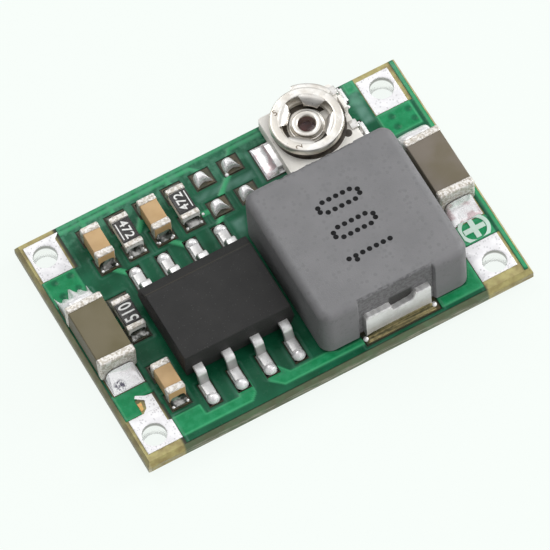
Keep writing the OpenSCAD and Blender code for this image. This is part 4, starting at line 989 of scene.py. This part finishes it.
rings = [chip_level(low[2], draft), chip_level(parting - 0.012, 0.004), chip_level(parting + 0.012, 0.0),
         chip_level(high[2] - bevel_deep, 0.5 * draft)]
for t in np.linspace(0, 1, 4):
    z = high[2] - bevel_deep + t * (bevel_deep - top_edge)
    rings.append(chip_level(z, draft * (0.5 + 0.45 * t), 0.02 + (bevel - 0.04) * t))
rings.append(chip_level(high[2] - top_edge * 0.3, draft + 0.01, bevel - 0.02))
rings.append(chip_level(high[2], draft + top_edge, bevel + 0.01))
piece("chip_shell", stacked(rings), "black_moulding", "chip_body", sharp=24)

# %% [markdown]
# The leads are strips of tinned metal. Each comes out at the parting line, bends down, and bends
# again to lie along its land: a flat section carried along that path, once for every lead.

# %% Leads
lead_boxes = solids("chip_leads")
lead_bend, toe_at, foot_z, lead_thick = 2.28, 3.05, 1.105, 0.2


def row_side(box):
    """+1 for a lead of the back row and -1 for one of the front row."""
    return 1 if middle(box)[1] > chip_y else -1


def lead(box):
    """A strip along the softened path from the body to the toe."""
    path = eased([(1.67, parting), (lead_bend, parting), (2.49, foot_z), (toe_at, foot_z)], [0.07, 0.06])
    path = np.column_stack([chip_y + row_side(box) * path[:, 0], path[:, 1]])
    return strip(path, box[0][0], box[1][0], lead_thick, 0.04)


piece("gull_leads", joined([lead(box) for box in lead_boxes]), "gull_tin", "chip_leads", sharp=45)

# %% [markdown]
# # Solder
# Molten solder pulls itself into smooth heaps that meet the land at a low angle. A heap is a
# height over a small patch of land, so it is a grid of points lifted by a function that falls to
# nothing at the patch's edge. The function is what differs: a ball at a toe, a pillow on a bare
# land, a hollow bank against an end cap.

# %% A heap of solder
def heap(x0, x1, y0, y1, base, rise, count=26):
    """Grid over a patch whose lines crowd towards the edges, lifted by rise(u, v), where u and v
    run from -1 to 1 across the patch. Its rim is closed by one flat face on the land."""
    s = np.sin(np.linspace(-np.pi / 2, np.pi / 2, count))
    u, v = np.meshgrid(s, s, indexing="ij")
    z = base + np.maximum(rise(u, v), 0)
    points = np.stack([x0 + (u + 1) / 2 * (x1 - x0), y0 + (v + 1) / 2 * (y1 - y0), z], -1).reshape(-1, 3)
    i = np.arange(count * count).reshape(count, count)
    rim = np.concatenate([i[:, 0], i[-1, 1:], i[-2::-1, -1], i[0, -2:0:-1]])
    return points, [*grid_faces(count, count)[:, ::-1], rim[::-1]]


def fall(t, power, root=0.5):
    """Falls from one to nothing as t goes to 1 or -1, steep at the end: (1 - t^power)^root."""
    return np.clip(1 - t ** power, 0, 1) ** root


print("a heap has", len(heap(0, 1, 0, 1, 0, lambda u, v: fall(u, 2) * fall(v, 2))[0]), "points")

# %% Toes of solder at the chip's feet
# Under each foot lies a thin film, and at its tip a round ball whose height differs a little.
random = np.random.default_rng(11)
shapes = []
for box in lead_boxes:
    side, lead_x = row_side(box), middle(box)[0]
    tip, swell = chip_y + side * toe_at, 0.24 + 0.04 * random.random()
    inner, outer = sorted([chip_y + side * 2.42, tip + side * 0.05])
    ball_y = tip + side * 0.15
    shapes.append(heap(box[0][0] - 0.035, box[1][0] + 0.035, inner, outer, land_top,
                       lambda u, v: 0.10 * np.clip((1 - u ** 8) * (1 - v ** 8), 0, 1) ** 0.5, 20))
    shapes.append(heap(lead_x - 0.265, lead_x + 0.265, ball_y - 0.255, ball_y + 0.255, land_top,
                       lambda u, v: swell * fall(np.hypot(u, v), 2, 0.55), 34))
piece("toe_solder", joined(shapes), "solder", "chip_solder")

# %% [markdown]
# # The coil
# The coil is a block of pressed powder with rounded edges. Front and back have a shallow recess
# where a flat tinned strip comes down and turns under. The recess follows from a stack of rings
# too: the points of each ring that lie inside the recess are pushed in by its depth.

# %% Sizes and levels of the coil
low, high = corners("coil_block")
coil_centre = np.array([coil_x, coil_y])
half_coil, corner_r, round_top = 3.3, 0.5, 0.36
recess_half, recess_deep, recess_top = 1.68, 0.16, 3.74
crown = high[2] - 0.004
shoulder = crown - round_top
climb = shoulder + round_top * np.sin(np.linspace(0, np.pi / 2, 16))
height_at = np.concatenate([[low[2]], np.linspace(1.2, shoulder - 0.04, 6), climb])
height_at = np.unique(np.round(height_at, 4))
over_top = np.clip((height_at - shoulder) / round_top, 0, 1)
draw_in = round_top * (1 - np.sqrt(1 - over_top ** 2))
print("levels of the coil:", len(height_at))

# %% One ring round the coil
# It is walked anticlockwise: front, corner, right, corner, and the same again turned round.
straight = half_coil - corner_r
recess_edge = recess_half + np.array([-0.06, 0, 0.06])
side = np.concatenate([np.linspace(-straight, straight, 45), recess_edge, -recess_edge])
side = np.unique(np.round(side, 4))
quarter = np.linspace(0, np.pi / 2, 9)[1:-1]
front = paired(side, -half_coil)
right = paired(half_coil, np.linspace(-straight, straight, 9))
bend = paired(straight + corner_r * np.sin(quarter), -straight - corner_r * np.cos(quarter))
half_ring = np.concatenate([front, bend, right, (bend * (1, -1))[::-1]])
ring = np.concatenate([half_ring, -half_ring])
print("points round the coil:", len(ring))


# %% The coil's rings, with the recesses pushed in
def coil_ring(z, inset):
    """The ring at height z: drawn in at right angles to its outline by inset, and pushed in to the
    recess's wall where it lies between the recess's ragged edges."""
    core = np.sign(ring) * np.minimum(np.abs(ring), straight)
    out = ring - core
    length = np.linalg.norm(out, axis=1)[:, None]
    put = core + out * np.maximum(length - inset, 0) / np.maximum(length, 1e-9)
    ragged = 0.04 * np.sin(7.1 * ring[:, 0] + 1) + 0.03 * np.sin(19.7 * ring[:, 0]) - 0.05
    inside = step_down(np.abs(ring[:, 0]) - recess_half, 0.03) * step_down(z - recess_top - ragged, 0.04)
    depth = half_coil - recess_deep
    sunk = (np.abs(put[:, 1]) > depth) & (np.abs(ring[:, 1]) > half_coil - 0.05)
    wall = np.sign(ring[:, 1]) * depth
    put[:, 1] = np.where(sunk, put[:, 1] + (wall - put[:, 1]) * inside, put[:, 1])
    return at_height(put + coil_centre, z)


rings = [coil_ring(z, inset) for z, inset in zip(height_at, draw_in)]
piece("coil_shell", stacked(rings), "coil_powder", "coil_block", sharp=40)

# %% [markdown]
# The mark on top is plain digits written as rows of ink dots: a one and two noughts, read
# from the right end of the board. Each dot is a shallow dish of dark ink a hair above the powder.

# %% Dotted mark
one = [(i, 0) for i in range(-3, 4)] + [(-2.1, -0.7)]
nought = [(x, y) for x in (-2.9, 2.9) for y in (-0.4, 0.4)] + [(i, s) for i in range(-2, 3) for s in (-1, 1)]
dot_step, mark_shift = np.array([0.305, 0.25]), -0.11
digit_places = ((one, -1.37), (nought, -0.16), (nought, 1.10))
dots = [np.array(digit) * dot_step + (mark_shift, along) for digit, along in digit_places]
turn = np.linspace(0, 2 * np.pi, 20, endpoint=False)
circle = paired(np.cos(turn), np.sin(turn))
dish = [(0.110, 0.0005), (0.095, 0.0035), (0.055, 0.002)]
shapes = [stacked([at_height(dot + r * circle, crown + z) for r, z in dish])
          for dot in np.concatenate(dots) + coil_centre]
piece("coil_mark", joined(shapes), "black_ink")

# %% [markdown]
# A terminal is a thin strip that comes down the recess. Its top edge is cut: an ear at either end
# and a dip between. Solder runs along its foot in a low hollow bank, with a bead at each corner.

# %% Coil terminals
ear_x = [-1.45, -1.35, -0.30, -0.22, 0.55, 0.66, 0.86, 1.38, 1.45]
ear_z = [2.40, 2.46, 2.44, 2.06, 2.14, 2.20, 2.49, 2.50, 2.44]
strip_half, strip_foot, columns = 1.45, 1.01, 60


def coil_strip(s):
    """A closed section in y and z, the same all along but for its top, which follows the ears; s is
    +1 for the front terminal and -1 for the back one, which is the front one turned round."""
    x = np.linspace(-strip_half, strip_half, columns)
    top = np.interp(x * s, ear_x, ear_z) + 0.012 * np.sin(23 * x)
    outer, inner = coil_y - s * 3.40, coil_y - s * 3.13
    section = [(inner, strip_foot), (outer + s * 0.05, strip_foot), (outer, strip_foot + 0.05),
               (outer, top - 0.05), (outer + s * 0.04, top), (inner, top)]
    rows = [paired(x * s + coil_x, y, z) for y, z in section]
    first = np.arange(len(section)) * columns
    faces = [f[::-1] for f in grid_faces(len(section), columns, round_rows=True)]
    return np.concatenate(rows), [*faces, first[::-1], first + columns - 1]


piece("coil_strips", joined([coil_strip(1), coil_strip(-1)]), "tinned_lead", "coil_terminals", sharp=35)

# %% Solder along the coil's terminals
def strip_bank(s):
    """A film that climbs with the cube of the way towards the terminal, lumpy along it."""
    def rise(u, v):
        near = np.clip((1 + v * s) / 2, 0, 1)
        rounded = fall(u, 8) * np.clip((1 + v * s) * 4, 0, 1) ** 0.5
        return (0.04 + 0.18 * near ** 3 + 0.012 * np.sin(31 * u)) * rounded

    y = coil_y - s * 3.40
    return heap(coil_x - 1.52, coil_x + 1.52, *sorted([y, y - s * 0.27]), land_top, rise, 44)


beads = [bead(coil_x + x, coil_y - s * 3.44, land_top, 0.12, 0.11 / 0.12, 6, 20, 0.001)
         for s in (1, -1) for x in (-1.53, 1.53)]
piece("coil_banks", joined([strip_bank(1), strip_bank(-1)]), "fluxed_solder", "coil_solder")
piece("coil_beads", joined(beads), "solder")

# %% [markdown]
# # Chip capacitors and resistors
# A chip part is a small block with a metal cap dipped onto either end. The caps were liquid once:
# their inner edges wander and their outer corners are round. A cap is a stack of rounded
# rectangles again, this time stacked along the part, with the first rings pushed to and fro.

# %% An end cap
def end_cap(box, out, r=0.07, wander=0.03, seed=1, bow=0.05):
    """Rings across the part from its inner edge to its outer face; out is +1 when the outer face
    is towards +y. The inner ring wanders by a sum of three sines of the angle round the part, and
    the band narrows towards the sides by bow, as a dipped end does."""
    (x0, y0, z0), (x1, y1, z1) = box
    inner, long = (y0 if out > 0 else y1), y1 - y0
    phase = np.random.default_rng(seed).uniform(0, 2 * np.pi, 3)
    plan = [(0.0, 0.022), (0.008, 0.006), (0.035, 0.0)]
    plan += [(long - r + r * math.sin(t), r * (1 - math.cos(t))) for t in np.linspace(0, np.pi / 2, 6)]
    rings = []
    for along, inset in plan:
        flat = rounded_rectangle(z0 + inset, z1 - inset, x0 + inset, x1 - inset, max(r - inset, 0.012), 5)
        turn = np.arctan2(flat[:, 1] - (x0 + x1) / 2, flat[:, 0] - (z0 + z1) / 2)
        wave = sum(np.sin(k * turn + p) / k for k, p in zip((2, 3, 7), phase))
        wave *= wander * max(0, 1 - along / 0.1)
        sideways, depth = (2 * (flat[:, 1] - x0) / (x1 - x0) - 1) ** 2, along / long
        y = inner + out * (along + wave + bow * sideways * (0.8 * (1 - depth) - depth))
        rings.append(np.column_stack([flat[:, 1], y, flat[:, 0]]))
    return stacked(rings if out > 0 else rings[::-1])


def outward(box, blocks):
    """+1 or -1: the side of the nearest block in its own column on which a cap or a heap lies."""
    x, y, _ = middle(box)
    column = [middle(block)[1] for block in blocks if abs(middle(block)[0] - x) < 0.25]
    return 1 if y > min(column, key=lambda at_y: abs(at_y - y)) else -1


def end_caps(node, blocks, **shape):
    """The caps of a node, each facing away from its own block."""
    boxes = enumerate(solids(node))
    return joined([end_cap(box, outward(box, blocks), seed=i + 3, **shape) for i, box in boxes])


small_blocks = solids("small_capacitor_blocks")
ceramics, coats = solids("resistor_ceramics"), solids("resistor_coats")
facing = [outward(box, small_blocks) for box in solids("small_capacitor_end_caps")]
print("the small capacitors' caps face", facing)


# %% Capacitors and resistors
# The blocks of the large capacitors end inside their caps, whose bands are bowed.
for name in ("left_capacitor", "right_capacitor"):
    low, high = corners(name + "_block")
    inside_caps = (0, 0.22, 0)
    body = soft_block((low + inside_caps, high - inside_caps), 0.05, 0.05)
    caps = end_caps(name + "_end_caps", [(low, high)], r=0.10, wander=0.045, bow=0.10)
    piece(name + "_body", body, "taupe_ceramic", name + "_block")
    piece(name + "_caps", caps, "end_cap_metal", name + "_end_caps")

piece("small_capacitor_bodies", joined([soft_block(box, 0.04, 0.04, 3) for box in small_blocks]),
      "tan_ceramic", "small_capacitor_blocks")
piece("small_capacitor_caps", end_caps("small_capacitor_end_caps", small_blocks, r=0.075), "end_cap_metal",
      "small_capacitor_end_caps")
piece("resistor_bodies", joined([soft_block(box, 0.015, 0.012, 2) for box in ceramics]), "alumina",
      "resistor_ceramics", sharp=50)
piece("resistor_glaze", joined([soft_block(box, 0.03, 0.03, 3) for box in coats]), "black_glaze",
      "resistor_coats")
piece("resistor_caps", end_caps("resistor_end_caps", ceramics, r=0.05, wander=0.025), "end_cap_metal",
      "resistor_end_caps")

# %% [markdown]
# # Printed and stamped digits
# Digits are drawn by the built-in font, given a little thickness, turned into a mesh, and then
# moved and turned as plain points: the numbers are general ones and name nobody.

# %% Digits as meshes
def digits(text, height, middle_at, top_towards, z, thick=0.006, squeeze=0.8, bold=0.012):
    """A word of digits about a middle, scaled to a height, its top pointing along top_towards;
    squeeze is its width's share of the font's, and bold moves its outline outwards."""
    curve = bpy.data.curves.new("digits", "FONT")
    curve.body, curve.size, curve.align_x, curve.align_y = text, 1.0, "CENTER", "CENTER"
    curve.extrude, curve.resolution_u, curve.offset, curve.space_character = 0.5, 3, bold, 1.08
    holder = bpy.data.objects.new("digits", curve)
    bpy.context.scene.collection.objects.link(holder)
    seen = holder.evaluated_get(bpy.context.evaluated_depsgraph_get())
    mesh = seen.to_mesh()
    at = np.empty(len(mesh.vertices) * 3, np.float32)
    mesh.vertices.foreach_get("co", at)
    at = at.reshape(-1, 3).astype(float)
    faces = [list(p.vertices) for p in mesh.polygons]
    seen.to_mesh_clear()
    bpy.data.objects.remove(holder)
    bpy.data.curves.remove(curve)
    tall = at[:, 1].max() - at[:, 1].min()
    at[:, :2] -= (at[:, :2].max(0) + at[:, :2].min(0)) / 2
    at[:, :2] *= height / tall
    at[:, 0] *= squeeze
    up = np.array(top_towards, float) / np.linalg.norm(top_towards)
    right = np.array([up[1], -up[0]])
    flat = at[:, :1] * right + at[:, 1:2] * up + np.asarray(middle_at, float)
    return np.column_stack([flat, z + at[:, 2] * thick]), faces


# %% Values on the resistors
# The front left one reads across its whole width; the two at the back are smaller and underlined.
marks = []
for box, word, up in zip(coats, ("510", "472", "472"), (-1, 1, -1)):
    cx, cy, _ = middle(box)
    top = box[1][2]
    underlined = word == "472"
    tall, squeeze, shift = (0.38, 1.04, 0.04) if underlined else (0.58, 0.70, 0.0)
    marks.append(digits(word, tall, (cx + up * shift, cy), (up, 0), top + 0.001, squeeze=squeeze, bold=0.016))
    if underlined:
        x = cx - up * 0.27
        bar = [level(x - 0.022, x + 0.022, cy - 0.40, cy + 0.40, top + z, 0.008, 1) for z in (-0.002, 0.004)]
        marks.append(stacked(bar))
piece("resistor_marks", joined(marks), "white_ink", sharp=30)

# %% [markdown]
# # Solder against the end caps
# Solder climbs an end cap in a hollow curve: high against the metal, falling away fast, and
# flattening out to the edge of the land. Small beads stand at the front corners.

# %% A bank against a cap
def edges_of(box, out):
    """The y of a bank against its cap, and of its far edge, when it lies on the side out."""
    return (box[0][1], box[1][1]) if out > 0 else (box[1][1], box[0][1])


def bank(box, out, climb, film, curl, seed, count):
    """A heap whose height is climb * exp(-t / curl) plus a film that ends at the land's edge, where
    t runs from nought at the cap to one at the edge, with low lumps all over."""
    cap, edge = edges_of(box, out)
    phase = np.random.default_rng(seed).uniform(0, 6, 4)

    def rise(u, v):
        t = np.clip((v * out + 1) / 2, 0, 1)
        side = fall(u, 6)
        lumps = np.sin(5 * u + phase[0]) * np.sin(4 * t + phase[1])
        lumps = 0.006 * (lumps + 0.6 * np.sin(11 * u + phase[2]) * np.sin(7 * t + phase[3]))
        return (climb * np.exp(-t / curl) * (0.85 + 0.15 * side) + film * fall(t, 5) + lumps) * side

    return heap(box[0][0], box[1][0], *sorted([cap - out * 0.03, edge]), land_top, rise, count)


# %% Banks of the large capacitors
# The back ones are full and bulging. The left of those was splashed: its far edge is drawn out into
# ragged tongues. The front right one has a pink cast, so it is a piece of its own.
def bulging_bank(box, wide, wave):
    """A heap 1.06 high at the cap that bulges out before it falls to the land's edge."""
    cap, edge = edges_of(box, 1)

    def rise(u, v):
        t = np.clip((v + 1) / 2, 0, 1)
        return 1.06 * fall(t, 2.4, 0.75) * fall(u, 6, 0.45) * (1 + 0.02 * np.sin(7 * u + wave))

    return heap(box[0][0] - wide, box[1][0] + 0.03, cap - 0.12, edge, land_top, rise, 44)


banks = {}
for i, box in enumerate(solids("large_capacitor_solder")):
    back, right = middle(box)[1] > 0, box[0][0] > 0
    if not back:
        banks[right, back] = bank(box, -1, 0.55, 0.09, 0.16, i, 44)
        continue
    points, faces = bulging_bank(box, 0.20 if right else 0.06, i)
    if not right:
        away = np.clip((points[:, 1] - 1.9) / 0.38, 0, 1) ** 2
        tongue = 0.20 * np.sin(7.5 * points[:, 0] + 2.0) + 0.16 * np.sin(17 * points[:, 0] + 0.5) + 0.20
        points[:, 1] += away * tongue
    banks[right, back] = points, faces
pink = banks.pop((True, False))
piece("large_banks", joined(banks.values()), "bank_solder", "large_capacitor_solder", sharp=70)
piece("pink_bank", pink, "pink_solder", sharp=70)

# %% Banks and beads of the small parts
shapes, beads = [], []
for i, box in enumerate(solids("small_part_solder")):
    out = outward(box, small_blocks + ceramics)
    against_capacitor = box[1][2] > 1.3
    shapes.append(bank(box, out, 0.30 if against_capacitor else 0.22, 0.05, 0.30, i + 9, 22))
    if out < 0:
        edge = edges_of(box, out)[1]
        beads.append(bead(box[0][0] + 0.04, edge + 0.05, board_top, 0.065, 1.1))
        beads.append(bead(box[1][0] - 0.04, edge + 0.06, board_top, 0.07, 1.1))
stray_beads = [(0.217, 4.165, 0.09), (-1.452, 3.086, 0.075), (-3.022, 2.778, 0.08), (-1.16, 2.214, 0.08),
               (-2.528, 2.136, 0.07), (-3.63, 2.851, 0.05), (-4.882, 2.82, 0.05)]
beads += [bead(x, y, 0.975, r, 0.9) for x, y, r in stray_beads]
# The small banks are dark with painted reflection, and a few painted glints.
piece("small_banks", joined(shapes), "painted_reflection_solder", "small_part_solder", sharp=70)
piece("corner_beads", joined(beads), "solder", sharp=70)

# %% Pillows on the bare lands
# A drop drawn towards two corners of its land, with a round shoulder all along its own outline.
pillow_edge = rounded_profile([(-0.97, -0.97), (-0.92, 0.30), (-0.66, 0.86), (0.22, 0.90), (0.50, 0.35),
                               (0.62, -0.30), (0.95, -0.88), (0.42, -0.52), (-0.05, -0.42), (-0.55, -0.60)])
sunk_base = 0.955


def pillow(box, shoulder_wide):
    """Height is a quarter circle of the distance in from the outline, over the shoulder's width."""
    def rise(u, v):
        t = np.clip(-to_polygon(u, v, pillow_edge) / shoulder_wide, 0, 1)
        return np.where(t > 0, 0.03 + 0.34 * np.sqrt(1 - (1 - t) ** 2), 0)

    (x0, y0, _), (x1, y1, _) = box
    return heap(x0 + 0.01, x1 - 0.01, y0 + 0.01, y1 - 0.01, sunk_base, rise, 56)


shapes = [pillow(box, 0.52 + 0.03 * i) for i, box in enumerate(solids("bare_land_solder"))]
piece("solder_pillows", joined(shapes), "solder", "bare_land_solder", sharp=70)

# %% [markdown]
# # Softened solids
# The trimmer's base and its wiper terminal have the right shape in the model but edges like knives.
# A copy of the solid with equal points merged and flat faces joined takes a rounded edge from the
# Bevel modifier.

# %% Soften a solid
def softened(name, node, width, finish, segments):
    """A copy of a node's mesh, merged, freed of lines across flat faces, with rounded edges; width
    in millimetres."""
    work = bmesh.new()
    work.from_mesh(frame["nodes"][node].data)
    bmesh.ops.remove_doubles(work, verts=work.verts, dist=2e-7)
    bmesh.ops.dissolve_limit(work, angle_limit=math.radians(1.5), verts=work.verts, edges=work.edges)
    mesh = bpy.data.meshes.new(name)
    work.to_mesh(mesh)
    work.free()
    mesh.materials.clear()
    mesh.polygons.foreach_set("use_smooth", np.ones(len(mesh.polygons), bool))
    mesh.polygons.foreach_set("material_index", np.zeros(len(mesh.polygons), np.int32))
    bevel = placed(name, mesh, finish, "board", node).modifiers.new("soft_edges", "BEVEL")
    bevel.width, bevel.segments = width * MM, segments
    bevel.limit_method, bevel.angle_limit = "ANGLE", math.radians(28)
    bevel.harden_normals, bevel.use_clamp_overlap = False, True


softened("cream_base", "trimmer_base", 0.05, "cream_ceramic", 3)

# %% Contacts of the trimmer
# An end terminal is a thin strip again: along the land, up the base's back wall and over its edge.
contact_run = [(5.93, 1.06), (5.70, 1.06), (5.665, 1.20), (5.655, 1.735), (5.36, 1.735)]
contact_run = eased(contact_run, [0.05, 0.06, 0.05])
shapes = []
for a, b in solids("trimmer_end_terminals"):
    points, faces = strip(contact_run, a[1] + 0.04, b[1] - 0.04, 0.08, 0.02)
    shapes.append((points[:, [1, 0, 2]], [f[::-1] for f in faces]))
piece("end_contacts", joined(shapes), "contact_metal", "trimmer_end_terminals", sharp=40)
# A dark dish on the base, between the ring and the front contact, is a painted shadow.
pit = [(0.0005, 1.690), (0.165, 1.690), (0.175, 1.700), (0.155, 1.707), (0.0005, 1.703)]
piece("painted_contact_shadow", turned(pit, 5.13, 3.05, 28, False), "painted_shadow_brown", sharp=50)
softened("wiper_contact", "trimmer_wiper_terminal", 0.03, "tinned_lead", 2)

# %% [markdown]
# # The trimmer
# An eyelet is rolled over a stamped metal rotor and holds it on a cream ceramic base. The rotor is
# a shallow cap: a flat ring with a skirt outside and a short wall inside, and four lobes between
# the arms of the driver's cross. The ring, the floor and the eyelet are profiles turned round the
# axis. A lobe is a grid in radius and angle whose height falls towards the axis and rolls over at
# the sides of the slots.

# %% Profiles of the turned parts
ring_profile = [(1.465, 2.00), (1.508, 2.00), (1.515, 2.02), (1.505, 2.08), (1.492, 2.17), (1.478, 2.225),
                (1.45, 2.258), (1.41, 2.27), (1.17, 2.27), (1.135, 2.263), (1.11, 2.245), (1.10, 2.21),
                (1.095, 2.05), (1.095, 1.965), (1.14, 1.96), (1.145, 2.18), (1.17, 2.215), (1.41, 2.22),
                (1.44, 2.20), (1.455, 2.14), (1.462, 2.06)]
brush_profile = [(1.00, 1.73), (1.28, 1.73), (1.28, 1.955), (1.00, 1.945)]
# Under the rotor's skirt, a dark ring and a dark disc on the base, set off to the front right, are painted
# shadow in the gap under the ring.
shadow_ring_profile = [(1.30, 1.72), (1.43, 1.72), (1.455, 1.75), (1.455, 1.99), (1.30, 1.99)]
shadow_disc_profile = [(1.49, 1.690), (1.50, 1.700), (1.48, 1.708), (1.20, 1.708), (1.20, 1.690)]
floor_profile = [(0.42, 1.755), (0.71, 1.755), (0.735, 1.775), (0.73, 1.82), (0.69, 1.83), (0.66, 1.80),
                 (0.44, 1.80)]
eyelet_profile = [(0.38, 1.07), (0.38, 1.835), (0.50, 1.845), (0.57, 1.865), (0.595, 1.895), (0.585, 1.925),
                  (0.53, 1.94), (0.47, 1.938), (0.41, 1.925), (0.37, 1.90), (0.35, 1.865), (0.345, 1.82),
                  (0.345, 1.07)]
piece("brush_ring", turned(brush_profile, ax, ay), "brush_metal", body="rotor", sharp=30)
piece("painted_shadow_disc", turned(shadow_disc_profile, ax + 0.07, ay - 0.08), "painted_shadow_brown", sharp=50)
piece("painted_shadow_ring", turned(shadow_ring_profile, ax, ay), "painted_shadow_brown", body="rotor", sharp=30)


# %% Sheets bent out of the rotor
def sheet(r, angle, z, thick):
    """A closed sheet over a grid of radius and angle about the axis: the grid, the same grid lower
    by thick, and a band round the rim."""
    grid = np.stack([ax + r * np.cos(angle), ay + r * np.sin(angle), z + 0 * angle], -1)
    rows, columns = grid.shape[:2]
    under = grid - np.array([0, 0, thick])
    i = np.arange(rows * columns).reshape(rows, columns)
    rim = np.concatenate([i[0, :-1], i[:-1, -1], i[-1, :0:-1], i[:0:-1, 0]])
    next_rim = np.roll(rim, -1)
    band = np.stack([rim, next_rim, next_rim + rows * columns, rim + rows * columns], -1)
    top = grid_faces(rows, columns)
    points = np.concatenate([grid.reshape(-1, 3), under.reshape(-1, 3)])
    return points, [*top, *(top[:, ::-1] + rows * columns), *band[:, ::-1]]


# %% Lobes between the arms of the cross
lobe_outer, lobe_inner, half_slot, twist = 1.135, 0.73, 0.30, 4.0


def lobe(quarter):
    """Height falls with the way in to the power 2.2, less at the middle than at the rolled sides."""
    r = np.linspace(lobe_outer, lobe_inner, 16)[:, None]
    u = -np.sin(np.linspace(-np.pi / 2, np.pi / 2, 23))[None, :]
    angle = math.radians(45 + twist + 90 * quarter) + u * (np.pi / 4 - np.arcsin(half_slot / r))
    t = (lobe_outer - r) / (lobe_outer - lobe_inner)
    rolled = 0.05 * np.abs(u) ** 5 * (0.3 + 0.7 * t)
    z = 2.262 - 0.22 * t ** 2.2 - rolled + 0.02 * np.sin(np.pi * t) * (1 - u ** 2)
    return sheet(r + 0.03 * np.abs(u) ** 3 * t, angle, z, 0.05)


lobes = [lobe(quarter) for quarter in range(4)]
print("lobes:", len(lobes), "points in each:", len(lobes[0][0]))

# %% Stop tab, rotor and eyelet
tab_reach, tab_middle, tab_half = 1.68, 55, 31


def stop_tab():
    """A flat sheet on from the ring, with its outer corners cut round and its outer edge dipped."""
    r = np.linspace(1.42, tab_reach, 7)[:, None]
    u = np.linspace(-1, 1, 33)[None, :]
    corner = np.clip((np.abs(u) - 0.86) / 0.14, 0, 1) ** 2 * 0.13
    z = 2.205 - 0.02 * np.clip((r - 1.6) / 0.08, 0, 1) ** 2
    return sheet(np.minimum(r, tab_reach - corner), np.radians(tab_middle + tab_half * u), z, 0.07)


ring = turned(rounded_profile(ring_profile), ax, ay, 128)
floor_ring = turned(rounded_profile(floor_profile, 1), ax, ay)
rotor_shapes = joined([ring, floor_ring, *lobes, stop_tab()])
piece("rotor_cap", rotor_shapes, "trimmer_metal", "trimmer_rotor", "rotor", sharp=48)
piece("rolled_eyelet", turned(rounded_profile(eyelet_profile, 1), ax, ay), "trimmer_metal", "trimmer_eyelet")

# %% Stamped digits, and flux in the eyelet, darkened as painted shade
shapes = []
for word, degrees, top_towards in (("5", 138, (-0.1, 1.0)), ("2", 228, (-1.0, 0.35))):
    around = math.radians(degrees)
    on_ring = (ax + 1.29 * math.cos(around), ay + 1.29 * math.sin(around))
    shapes.append(digits(word, 0.27, on_ring, top_towards, 2.2695, 0.004, 0.95))
piece("stamped_digits", joined(shapes), "stamped_mark", body="rotor", sharp=30)

flux_r, flux_low, flux_edge, flux_dip, pole = 0.342, 1.30, 1.42, 0.06, 0.0005
hollow = [(flux_r * (1 - t), flux_edge - flux_dip * (1 - (1 - t) ** 2)) for t in np.linspace(0, 1, 6)[:-1]]
profile = [(pole, flux_low), (flux_r, flux_low), *hollow, (pole, flux_edge - flux_dip)]
piece("eyelet_flux_in_shade", turned(profile, ax, ay, 48, False), "shaded_flux")

# %% Solder on the trimmer's lands
def wiper_rise(u, v):
    """High against the wiper terminal, on the right, and hollow towards the land's left edge."""
    t = (1 - u) / 2
    lumps = 0.02 * np.sin(9 * v + 1) * t * (1 - t)
    return (0.24 * np.exp(-t / 0.34) + 0.06 * fall(t, 5) + lumps) * fall(v, 8)


def end_rise(u, v):
    """High against an end terminal, on the left, and hollow towards the right."""
    t = (1 + u) / 2
    return (0.16 * np.exp(-t / 0.3) + 0.05 * fall(t, 5)) * fall(v, 6)


(wiper_low, wiper_high), *ends = solids("trimmer_solder")
wiper = heap(1.54, 2.06, wiper_low[1] - 0.06, wiper_high[1] + 0.06, land_top, wiper_rise, 30)
shapes = [heap(a[0] - 0.04, a[0] + 0.16, a[1] - 0.08, b[1] + 0.08, land_top, end_rise, 20) for a, b in ends]
shapes.append(bead(5.89, 4.46, land_top, 0.085, 0.9))
piece("trimmer_banks", joined(shapes), "solder", "trimmer_solder", sharp=70)
piece("wiper_bank", wiper, "pink_solder", sharp=70)

# %% [markdown]
# # Finishes for the solids that stay
# What has no finer surface keeps its solid from the model and only gets a finish, by the slot
# that the record gives each node. The lands of the chip and the small parts are brown with flux,
# and darker still with painted shade.

# %% Dress the model's own solids
finishes["chip_lands"] = finishes["small_part_lands"] = finishes["fluxed_land"]
slot_in_record = {part["node"]: part["material_slot"] for part in frame["record"]["subparts"]}
for node, solid in frame["nodes"].items():
    solid.data.materials.clear()
    solid.data.materials.append(finishes.get(node, finishes[slot_in_record[node]]))
print("dressed:", len(frame["nodes"]))
